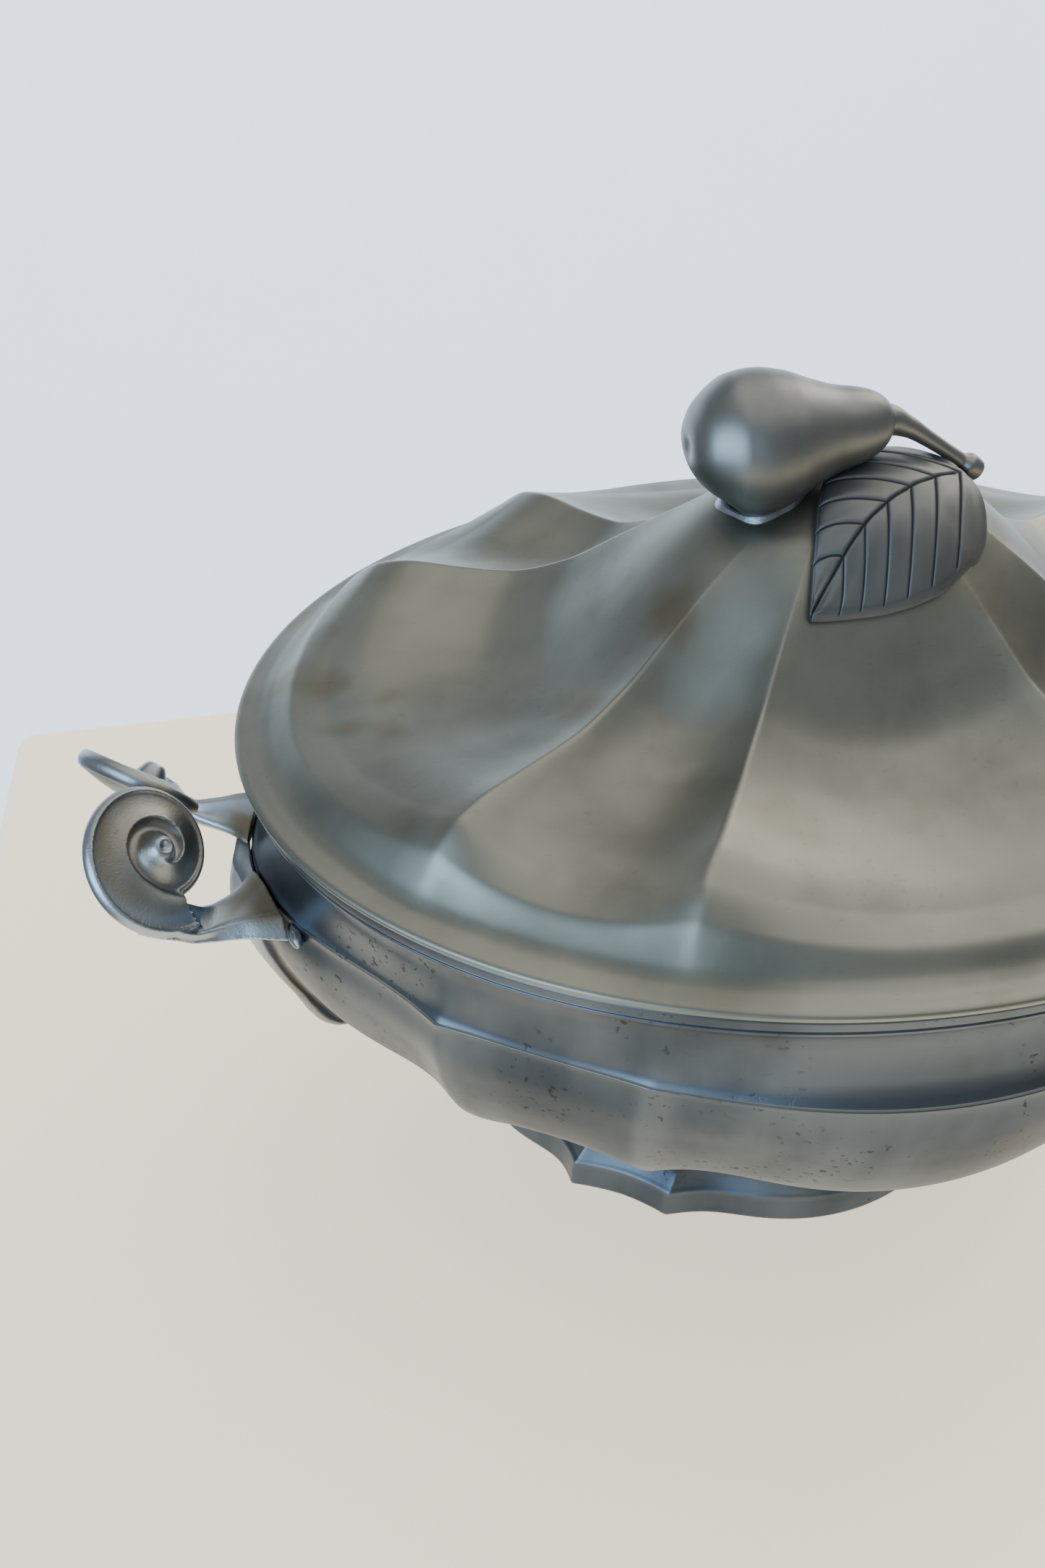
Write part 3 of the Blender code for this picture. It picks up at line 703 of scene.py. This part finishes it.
# %% The pear's seat on the lid
below = np.clip(PEAR_CENTRE[2] + 0.02 - pear_rings[..., 2], 0, 0.13)
at_blossom = smoothstep(-pear_rings[..., 0], -PEAR_CENTRE[0], -PEAR_CENTRE[0] + 0.08)
pear_rings[..., 0] += 2.4 * below**2 * at_blossom
on_lid = lid_surface(pear_rings[..., 0], pear_rings[..., 1]) + 0.002
crevice = pear_rings[..., 2] - on_lid
pear_rings[..., 2] = np.maximum(pear_rings[..., 2], on_lid)
points, faces = skin(pear_rings)
pear_grime = 0.9 * (1 - smoothstep(crevice, 0.0, 0.05))
pear = mesh_piece("pear_knob", points, faces, finial_pewter, {"grime_and_shade": pear_grime.ravel()})
settle(pear, "lid", "finial_pewter", "pear")

# %% [markdown]
# The pear was fixed with soft solder, which ran out round it in an uneven pale bead. It fills the wedge
# between the pear and the lid, so its width follows that wedge, with a slow ripple for the hand of the
# maker.

# %% The solder round the pear
SOLDER_MIDDLE = -0.130
BEAD_HEIGHT = 0.009
# Share of the way out over the wedge, share of the bead's height
BEAD_SECTION = [(0.0, 0.5), (0.55, 1.0), (1.0, 0.92), (1.25, 0.45), (1.5, 0.02), (0.6, -0.2)]


def pear_underside(x, y):
    """Height of the pear's underside over points of the plan."""
    offset = x - PEAR_CENTRE[0]
    spot = np.where(offset > 0, offset / (PEAR_NECK / 2), offset / PEAR_RADIUS)
    radius = PEAR_RADIUS * smooth_read(spot, [p for p, _ in PEAR_OUTLINE], [r for _, r in PEAR_OUTLINE])
    middle = PEAR_CENTRE[2] + PEAR_NECK_RISE * np.maximum(spot, 0) / 2
    return middle - np.sqrt(np.maximum(radius**2 - y**2, 0.0))


def solder_ring():
    """Sections of the bead round the pear: buried, on the pear, bulging out, on the lid."""
    sections = []
    for turn in np.linspace(0, 2 * pi, 180, endpoint=False):
        out = np.linspace(0.0, 0.17, 341)
        x, y = SOLDER_MIDDLE + out * cos(turn), out * sin(turn)
        gap = pear_underside(x, y) - lid_surface(x, y)
        ripple = 1 + 0.22 * sin(3 * turn + 0.6) + 0.14 * sin(5 * turn)
        shut = np.interp(0.002, np.maximum.accumulate(gap), out)
        open_end = np.interp(0.010 * ripple, np.maximum.accumulate(gap), out)
        section = []
        for share, lift in BEAD_SECTION:
            reach = shut + (open_end - shut) * share
            px, py = SOLDER_MIDDLE + reach * cos(turn), reach * sin(turn)
            low = float(lid_surface(px, py))
            section.append((px, py, low + lift * BEAD_HEIGHT * ripple))
        sections.append(rounded(section, 0.01, 4))
    around = np.array(sections).swapaxes(0, 1)
    return soften(around, 12).swapaxes(0, 1)


points, faces = skin(solder_ring(), closed=True)
solder = mesh_piece("solder_bead", points, faces, solder_pewter)
settle(solder, "lid", "solder", "finial_solder_bead")

# %% [markdown]
# ## Stem and leaf
# The stem leaves the pear's neck, bends down over the leaf and ends in a cut knob. It is a sweep of
# circles along a short curve. The leaf is a thin domed plate with its midrib, side veins and border cut
# in by a graver. The cuts are narrow, so the plate is a fine grid whose points are pushed down along
# them, and they hold dark oxide.


# %% The stem
def swept(path, widths, sides=28, samples=70):
    """Rings of circles along a smooth path through a few points."""
    path = np.array(path, float)
    spots = np.linspace(0, 1, len(path))
    fine = np.linspace(0, 1, samples)
    core = np.stack([smooth_read(fine, spots, path[:, k]) for k in range(3)], axis=-1)
    radius = smooth_read(fine, spots, widths)
    forward_axis = np.gradient(core, axis=0)
    forward_axis /= np.linalg.norm(forward_axis, axis=1)[:, None]
    first = np.cross(forward_axis, (0.0, 1.0, 0.0))
    first /= np.linalg.norm(first, axis=1)[:, None]
    second = np.cross(forward_axis, first)
    angles = np.linspace(0, 2 * pi, sides, endpoint=False)[None, :, None]
    circles = first[:, None] * np.cos(angles) + second[:, None] * np.sin(angles)
    return core[:, None] + radius[:, None, None] * circles


STEM_PATH = [
    (0.020, 0.0, 0.505), (0.052, 0.0, 0.507), (0.085, -0.003, 0.496), (0.122, -0.006, 0.474),
    (0.158, -0.008, 0.450), (0.184, -0.009, 0.432), (0.200, -0.010, 0.421), (0.216, -0.010, 0.410),
    (0.224, -0.010, 0.404),
]
STEM_RADII = [0.034, 0.027, 0.018, 0.0135, 0.012, 0.0125, 0.0205, 0.0185, 0.002]
points, faces = skin(swept(STEM_PATH, STEM_RADII))
stem = mesh_piece("pear_stem", points, faces, finial_pewter)
settle(stem, "lid", "finial_pewter", "stem")

# %% The leaf
LEAF_BASE = np.array((0.180, -0.045))
LEAF_TIP = np.array((-0.125, -0.213))
LEAF_HALF_WIDTH = 0.122
LEAF_OUTLINE = [
    (0.00, 0.00), (0.02, 0.34), (0.07, 0.62), (0.16, 0.86), (0.28, 0.99), (0.40, 1.00), (0.55, 0.88),
    (0.70, 0.66), (0.84, 0.38), (0.94, 0.16), (1.00, 0.02),
]
LEAF_THICKNESS = 0.011
CUT_DEPTH = 0.0030
# Where each pair of side veins leaves the midrib, as a share of its length
VEINS = [0.04, 0.19, 0.34, 0.49, 0.64, 0.78]


def leaf_half(u):
    """Half the leaf's width at u along the midrib."""
    return LEAF_HALF_WIDTH * smooth_read(u, [a for a, _ in LEAF_OUTLINE], [b for _, b in LEAF_OUTLINE])


def leaf_cuts(u, v):
    """Depth of the graver's cuts, from 0 to 1, at u along the midrib and v across the leaf."""
    length = np.linalg.norm(LEAF_TIP - LEAF_BASE)
    across = np.abs(v) * leaf_half(u)
    cut = np.exp(-((across / 0.0027) ** 2)) * smoothstep(u, 0.02, 0.08)
    for start in VEINS:
        lean = start + 0.30 * np.abs(v) * leaf_half(u) / LEAF_HALF_WIDTH + 0.04 * v**2
        away = (u - lean) * length * 0.85
        reach = smoothstep(1 - np.abs(v), 0.03, 0.08)
        cut = np.maximum(cut, 0.9 * np.exp(-((away / 0.0026) ** 2)) * reach)
    border = (1 - np.abs(v)) * leaf_half(u)
    return np.maximum(cut, 0.35 * np.exp(-(((border - 0.0060) / 0.0020) ** 2)) * smoothstep(u, 0.3, 0.5))


def leaf_rings():
    """Rings round the plate: over the top from edge to edge, and back underneath."""
    u = np.linspace(0.001, 0.999, 420)[:, None]
    v = np.sin(np.linspace(-pi / 2, pi / 2, 281))[None, :]
    midrib = LEAF_TIP - LEAF_BASE
    across = np.array((-midrib[1], midrib[0])) / np.linalg.norm(midrib)
    offset = v * leaf_half(u) - 0.02 * np.sin(pi * u)
    x = LEAF_BASE[0] + midrib[0] * u + across[0] * offset
    y = LEAF_BASE[1] + midrib[1] * u + across[1] * offset
    lift = 0.012 + 0.030 * (1 - u) ** 1.5 + 0.010 * (1 - v * v) * np.sin(pi * u)
    under = lid_surface(x, y) + lift
    cuts = leaf_cuts(u, v)
    quilt = 0.0007 * np.cos(2 * pi * (u - 0.30 * np.abs(v)) / 0.15) * (1 - v * v)
    plate = LEAF_THICKNESS * np.sqrt(np.clip(1 - np.abs(v) ** 10, 0, 1)) * smoothstep(u, 0, 0.02) ** 0.5
    over = under + plate * smoothstep(1 - u, 0, 0.01) ** 0.5 + quilt - CUT_DEPTH * cuts
    top = np.stack([x, y, over], axis=-1)
    bottom = np.stack([x, y, under], axis=-1)
    rings = np.concatenate([top, bottom[:, -2:0:-1]], axis=1)
    marks = np.concatenate([cuts, 0 * cuts[:, 1:-1]], axis=1)
    return rings, marks


rings, marks = leaf_rings()
points, faces = skin(rings)
leaf = mesh_piece("leaf_plate", points, faces, finial_pewter, {"grime_and_shade": 0.4 + 1.3 * marks.ravel()})
settle(leaf, "lid", "finial_pewter", "leaf")

# %% [markdown]
# ## The ram's-horn handles
# Each end carries two horns that mirror each other. A horn leaves the bowl flat and wide, narrows, and
# winds up into a snail. The snail is a spiral that closes on itself, so it is drawn as a height over
# its own plane: the reach inside the spiral says which winding a point is in, and each winding is a
# hollow between two ridges.

# %% The volute
VOLUTE_CENTRE = np.array((-1.140, -0.096, -0.094))
VOLUTE_NORMAL = np.array((0.54, -0.54, 0.645))
VOLUTE_NORMAL /= np.linalg.norm(VOLUTE_NORMAL)
VOLUTE_START = 0.0865
VOLUTE_GROWTH = 0.0845
VOLUTE_ANGLE = radians(-36.7)
VOLUTE_THICKNESS = 0.034
# Degrees of winding inwards from the neck, and the ridge's reach there
INNER_TURNS = [-540, -440, -338, -288, -240, -160, -100, -54, -24, 0]
INNER_REACH = [0.002, 0.014, 0.034, 0.045, 0.053, 0.055, 0.054, 0.058, 0.070, 0.0865]


def spiral(turn):
    """Reach of the spiral's ridge at an angle in radians from the neck, inwards negative."""
    outside = VOLUTE_START * np.exp(VOLUTE_GROWTH * np.maximum(turn, 0))
    return np.where(turn > 0, outside, smooth_read(np.degrees(turn), INNER_TURNS, INNER_REACH))


def ridge_level(turn):
    """Height of the spiral's ridge: level outside, climbing to the eye."""
    return 0.022 * smoothstep(-turn, 2.0, 8.5)


def volute_height(reach, turn):
    """Height of the snail's face: three windings of hollows between ridges, and a domed eye with a pit."""
    height = ridge_level(-9.0) * np.ones_like(turn)
    for winding in range(3):
        wound = turn - 2 * pi * winding
        outer = spiral(wound)
        inner = np.minimum(spiral(wound - 2 * pi), outer - 0.002)
        share = np.clip((outer - reach) / (outer - inner), 0, 1)
        lip, wall = ridge_level(wound), ridge_level(wound - 2 * pi)
        scoop = 0.15 + 0.25 * smoothstep(-wound, -1.5, 1.5)
        depth = scoop * (outer - inner) * (1 - np.abs(2 * share**0.85 - 1) ** 2.4)
        inside = (reach <= outer) & (reach > inner)
        height = np.where(inside, lip + (wall - lip) * smoothstep(share, 0, 1) - depth, height)
    eye = 1 - smoothstep(reach, 0.012, 0.034)
    dome = 0.027 * (1 - (reach / 0.055) ** 2) - 0.010 * np.exp(-((reach / 0.007) ** 2))
    return height * (1 - eye) + dome * eye


def volute_rings():
    """Rings from the eye over the face, round the rim and back under."""
    turns = np.linspace(0, 2 * pi, 300, endpoint=False)
    across = np.cross((0.0, 1.0, 0.0), VOLUTE_NORMAL)
    across /= np.linalg.norm(across)
    up = np.cross(VOLUTE_NORMAL, across)
    angle = VOLUTE_ANGLE + turns
    outward = across * np.cos(angle)[:, None] + up * np.sin(angle)[:, None]
    outline = spiral(turns)
    bead = 0.5 * VOLUTE_THICKNESS
    coil = 0.070
    rows = []
    for share in np.linspace(0.01, 2, 120):
        reach = coil * min(share, 1) + (outline - 0.75 * bead - coil) * max(share - 1, 0)
        rows.append((reach, volute_height(reach, turns)))
    for turn in np.linspace(0.35 * pi, -0.5 * pi, 12):
        rows.append((outline - bead + bead * np.cos(turn), -bead + bead * np.sin(turn) + 0 * outline))
    for share in np.linspace(0.92, 0.05, 14):
        rows.append((share * (outline - bead), -2 * bead - 0.016 * (1 - share**2) + 0 * outline))
    lifts = [VOLUTE_NORMAL * height[:, None] for _, height in rows]
    return [VOLUTE_CENTRE + outward * reach[:, None] + lift for (reach, _), lift in zip(rows, lifts)]


print("snail of", len(volute_rings()), "rings")

# %% [markdown]
# The arm is drawn between two edges, the one beside its twin and the outer one. Its section is a
# flattened oval with a ridge near the outer edge, where the real horn has a line running all the way
# from the bowl to the snail. Arm and snail overlap, so a fine voxel remesh joins them into one skin,
# and a light smoothing takes off the steps.

# %% The arm
# Inner edge, outer edge, thickness, and how hollow the upper side is
ARM = [
    ((-0.9915, -0.038, -0.217), (-0.950, -0.197, -0.233), 0.047, 0.00),
    ((-1.000, -0.046, -0.216), (-0.970, -0.195, -0.231), 0.041, 0.00),
    ((-1.012, -0.066, -0.217), (-0.997, -0.190, -0.229), 0.038, 0.00),
    ((-1.034, -0.088, -0.217), (-1.025, -0.184, -0.229), 0.036, 0.05),
    ((-1.056, -0.105, -0.214), (-1.062, -0.182, -0.230), 0.036, 0.15),
    ((-1.082, -0.124, -0.202), (-1.098, -0.187, -0.224), 0.035, 0.30),
    ((-1.107, -0.136, -0.180), (-1.140, -0.197, -0.199), 0.034, 0.50),
    ((-1.150, -0.120, -0.172), (-1.188, -0.182, -0.192), 0.030, 0.60),
]


def arm_rings():
    """Sections of the arm from its root to inside the snail."""
    spots = np.linspace(0, 1, len(ARM))
    fine = np.linspace(0, 1, 90)
    inner = np.stack([smooth_read(fine, spots, [a[0][k] for a in ARM]) for k in range(3)], axis=-1)
    outer = np.stack([smooth_read(fine, spots, [a[1][k] for a in ARM]) for k in range(3)], axis=-1)
    thickness = smooth_read(fine, spots, [a[2] for a in ARM])[:, None]
    hollow = smooth_read(fine, spots, [a[3] for a in ARM])[:, None]
    middle = (inner + outer) / 2
    along = np.gradient(middle, axis=0)
    normal = np.cross(along, outer - inner)
    normal /= np.linalg.norm(normal, axis=1)[:, None]
    turns = np.linspace(0, 2 * pi, 64, endpoint=False)[None, :]
    across = np.sign(np.cos(turns)) * np.abs(np.cos(turns)) ** 0.9
    upper = np.sin(turns) > 0
    bulge = np.sin(turns) * 0.5 * thickness
    sag = hollow * thickness * (1 - across**2) * upper
    ridge = 0.13 * thickness * np.exp(-(((across - 0.60) / 0.13) ** 2)) * upper
    lip = 0.16 * thickness * smoothstep(across, 0.62, 0.95) * upper
    rise = bulge - sag + ridge - lip
    half = 0.5 * (outer - inner)[:, None, :] * across[..., None]
    return middle[:, None, :] + half + normal[:, None, :] * rise[..., None]


print("arm of", arm_rings().shape[0], "sections")


# %% Joining skins
VOXEL = 0.00024


def remeshed(name, parts):
    """One smooth skin round overlapping closed skins."""
    points, faces, start = [], [], 0
    for part_points, part_faces in parts:
        points.append(part_points)
        faces += [[k + start for k in face] for face in part_faces]
        start += len(part_points)
    rough = mesh_piece(name, np.vstack(points), faces, handle_pewter)
    fuse = rough.modifiers.new("fuse", "REMESH")
    fuse.mode = "VOXEL"
    fuse.voxel_size = VOXEL
    fair = rough.modifiers.new("fair", "SMOOTH")
    fair.factor = 0.5
    fair.iterations = 7
    evaluated = rough.evaluated_get(bpy.context.evaluated_depsgraph_get())
    fused = bpy.data.meshes.new_from_object(evaluated)
    points = np.zeros(len(fused.vertices) * 3)
    fused.vertices.foreach_get("co", points)
    faces = [list(polygon.vertices) for polygon in fused.polygons]
    bpy.data.objects.remove(rough)
    return (points.reshape(-1, 3) - np.array(LID_MIDDLE)) / U, faces


def facing_out(points, faces):
    """The same skin with its faces turned out."""
    p = np.asarray(points)
    fan = [(f[0], f[i], f[i + 1]) for f in faces for i in range(1, len(f) - 1)]
    a, b, c = np.moveaxis(p[np.array(fan)], 1, 0)
    if (a * np.cross(b, c)).sum() < 0:
        return points, [list(reversed(f)) for f in faces]
    return points, faces


horn_parts = [facing_out(*skin(volute_rings())), facing_out(*skin(arm_rings()))]
horn_points, horn_faces = remeshed("horn", horn_parts)
print("one horn has", len(horn_points), "points")

# %% [markdown]
# The horns collect brown dirt on top of their roots, which face up and are hard to reach with a cloth.
# The rolled edge of the snail and its eye are rubbed bright. One mesh serves for all four horns,
# mirrored to each corner.

# %% The four horns
from_eye = horn_points - VOLUTE_CENTRE
lifted = from_eye @ VOLUTE_NORMAL
apart = np.linalg.norm(from_eye - lifted[:, None] * VOLUTE_NORMAL, axis=1)
near_root = smoothstep(horn_points[:, 0], -1.08, -0.98)
brown = smoothstep(horn_points[:, 2], -0.235, -0.205) * near_root
in_snail = (1 - smoothstep(apart, 0.10, 0.13)) * (1 - smoothstep(lifted, -0.012, 0.012)) * (lifted > -0.03)
horn_grime = 0.9 * brown + 0.12 * in_snail
horn_wear = 0.7 * smoothstep(apart, 0.100, 0.125) * (1 - near_root) + 0.5 * smoothstep(lifted, 0.006, 0.02)
for end_name, end in (("left", 1), ("right", -1)):
    for row_name, row in (("front", 1), ("rear", -1)):
        mirror = np.array((end, row, 1.0))
        horn = mesh_piece(
            f"{end_name}_{row_name}_horn", horn_points * mirror, horn_faces, handle_pewter,
            {"grime_and_shade": horn_grime, "wear": horn_wear},
        )
        settle(horn, "bowl", "handle_pewter", f"handle_{end_name}_{row_name}_scroll")

# %% [markdown]
# Below the arms a shield-shaped bracket hugs the belly. It narrows to a tendril that hangs free of the
# bowl and ends in a bud. It is a stack of flattened rings, each with its own distance from the axis,
# bent to the bowl's curve as long as it touches it. A drop of solder, left bright by the iron, shows at
# the outer edge of each arm's root.

# %% The brackets with their tails
# Height, the middle's distance from the axis, half width, half thickness
BRACKET = [
    (-0.222, 1.003, 0.112, 0.014), (-0.262, 1.007, 0.098, 0.017), (-0.290, 1.006, 0.080, 0.019),
    (-0.325, 1.003, 0.060, 0.019), (-0.370, 0.994, 0.044, 0.0165), (-0.430, 0.976, 0.031, 0.015),
    (-0.500, 0.947, 0.022, 0.012), (-0.545, 0.923, 0.018, 0.0115), (-0.575, 0.905, 0.023, 0.014),
    (-0.605, 0.885, 0.028, 0.0175), (-0.632, 0.862, 0.018, 0.013), (-0.650, 0.845, 0.003, 0.003),
]
BRACKET_FREE = (0.36, 0.42)


def bowl_end(y, height):
    """How far the bowl's end reaches from the axis at a distance y from its middle plane."""
    one = bowl_rings(BELLY, [height])[0]
    near = one[(one[:, 0] > 0) & (one[:, 1] <= 1e-9)]
    near = near[np.argsort(-near[:, 1])]
    return np.interp(np.abs(y), -near[:, 1], near[:, 0])


def bracket_rings(end):
    """Flattened rings down the bracket and its tail."""
    levels = [-b[0] for b in BRACKET]
    heights = np.linspace(levels[0], levels[-1], 130)
    middles = smooth_read(heights, levels, [b[1] for b in BRACKET])
    widths = smooth_read(heights, levels, [b[2] for b in BRACKET])
    depths = smooth_read(heights, levels, [b[3] for b in BRACKET])
    turns = np.linspace(0, 2 * pi, 56, endpoint=False)
    rings = []
    for height, middle, width, depth in zip(heights, middles, widths, depths):
        y = width * np.sin(turns)
        hug = 1 - float(smoothstep(height, *BRACKET_FREE))
        bend = (bowl_end(0.0, -height) - bowl_end(y, -height)) * hug
        spine = 0.35 * depth * np.exp(-((np.sin(turns) / 0.22) ** 2)) * (np.cos(turns) > 0)
        x = middle - bend + depth * np.cos(turns) + spine
        rings.append(np.stack([-end * x, y, -height + 0 * x], axis=-1))
    return rings


for end_name, end in (("left", 1), ("right", -1)):
    points, faces = skin(bracket_rings(end))
    bracket = mesh_piece(f"{end_name}_bracket", points, faces, handle_pewter)
    settle(bracket, "bowl", "handle_pewter", f"handle_{end_name}_bracket")


# %% Solder at the handles' roots
def blob(centre, size, seed):
    """A smeared drop of solder: a ball pulled out along its axes and dented by slow waves."""
    polar = np.linspace(0.06, pi - 0.06, 26)[:, None]
    turn = np.linspace(0, 2 * pi, 40, endpoint=False)[None, :]
    waves = 1 + 0.08 * np.sin(2 * turn + seed) * np.sin(polar) + 0.05 * np.cos(3 * polar + 2 * seed)
    waves = waves + 0.02 * np.sin(5 * turn + 4 * polar + seed)
    round_part = [np.sin(polar) * np.cos(turn), np.sin(polar) * np.sin(turn), np.cos(polar) + 0 * turn]
    ball = np.stack(round_part, axis=-1)
    return np.array(centre) + ball * waves[..., None] * np.array(size)


for end_name, end in (("left", 1), ("right", -1)):
    for row_name, row in (("front", 1), ("rear", -1)):
        spot = (-0.939 * end, -0.188 * row, -0.234)
        points, faces = skin(blob(spot, (0.012, 0.032, 0.013), 1.0 + end + 0.5 * row))
        drop = mesh_piece(f"{end_name}_{row_name}_solder", points, faces, solder_pewter)
        settle(drop, "bowl", "solder")

# %% [markdown]
# ## The setting
# The bowl stands on a plain pale plinth before a pale backdrop. Pewter shows its surroundings more than
# itself: a broad cool window at the left front gives the blue lights on the cove and the pear, a warm
# ceiling gives the olive of the lid, which is also painted into the lid's colours as a reflection of the
# room, and the dark room behind the camera gives the deep tones under the arris.


# %% Plinth and backdrop
def plain_finish(name, base, roughness, glow):
    """A matt cloth finish that glows a little, as cloth does in a bright room."""
    finish = Finish(name)
    tone = finish.noise(0.10, 3.0).band(0.3, 0.7)
    lighter = tuple(min(1.0, c * 1.03) for c in base[:3]) + (1.0,)
    finish.fill(finish.shader, {"Base Color": finish.mix(tone, base, lighter), "Roughness": roughness})
    finish.fill(finish.shader, {"Emission Color": base, "Emission Strength": glow})
    return finish.material


def slab(name, low, high, radius, material):
    """A box with rounded edges, from its lowest to its highest corner."""
    mesh = bpy.data.meshes.new(name)
    corners = [(x, y, z) for x in (low[0], high[0]) for y in (low[1], high[1]) for z in (low[2], high[2])]
    sides = [(0, 1, 3, 2), (4, 6, 7, 5), (0, 4, 5, 1), (2, 3, 7, 6), (0, 2, 6, 4), (1, 5, 7, 3)]
    mesh.from_pydata(corners, [], sides)
    mesh.materials.append(material)
    made = bpy.data.objects.new(name, mesh)
    bpy.context.scene.collection.objects.link(made)
    edge = made.modifiers.new("edge", "BEVEL")
    edge.width = radius
    edge.segments = 4
    mesh.shade_smooth()
    return made


cream_cover = plain_finish("cream_cover", colour(0.90, 0.79, 0.60), 0.9, 1.12)
pale_backdrop = plain_finish("pale_backdrop", colour(0.68, 0.79, 0.92), 0.95, 2.1)
PLINTH_BACK = 0.190
PLINTH_SLANT = 0.13
plinth = slab("plinth", (-0.193, -0.62, -0.30), (0.62, PLINTH_BACK, 0.0), 0.006, cream_cover)
for corner in plinth.data.vertices:
    if corner.co.x < 0:
        corner.co.x += PLINTH_SLANT * (corner.co.y - PLINTH_BACK)
backdrop = slab("backdrop", (-1.8, 2.1, -2.6), (3.2, 2.12, 0.8), 0.005, pale_backdrop)
print("stage: plinth and backdrop")


# %% Lights
def soft_light(name, place_at, aim_at, size, energy, tint):
    """A large soft rectangle of light, from a point towards a point."""
    lamp = bpy.data.lights.new(name, "AREA")
    lamp.shape = "RECTANGLE"
    lamp.size, lamp.size_y = size
    lamp.energy = energy
    lamp.color = tint
    made = bpy.data.objects.new(name, lamp)
    bpy.context.scene.collection.objects.link(made)
    made.location = place_at
    made.rotation_mode = "QUATERNION"
    made.rotation_quaternion = (Vector(aim_at) - Vector(place_at)).to_track_quat("-Z", "Y")


BOWL_MIDDLE = (0, 0, 0.1)
soft_light("window_left", (-1.50, -1.20, 0.62), BOWL_MIDDLE, (1.8, 1.4), 46.0, (0.52, 0.75, 1.0))
soft_light("ceiling", (0.5, 0.3, 2.2), BOWL_MIDDLE, (3.4, 3.0), 36.0, (1.0, 0.96, 0.88))
soft_light("back_right", (1.7, 1.3, 1.3), BOWL_MIDDLE, (1.0, 1.2), 18.0, (1.0, 0.93, 0.82))
world = bpy.data.worlds.new("room")
bpy.context.scene.world = world
world.use_nodes = True
background = world.node_tree.nodes["Background"]
background.inputs["Color"].default_value = (0.80, 0.84, 0.88, 1.0)
background.inputs["Strength"].default_value = 0.32
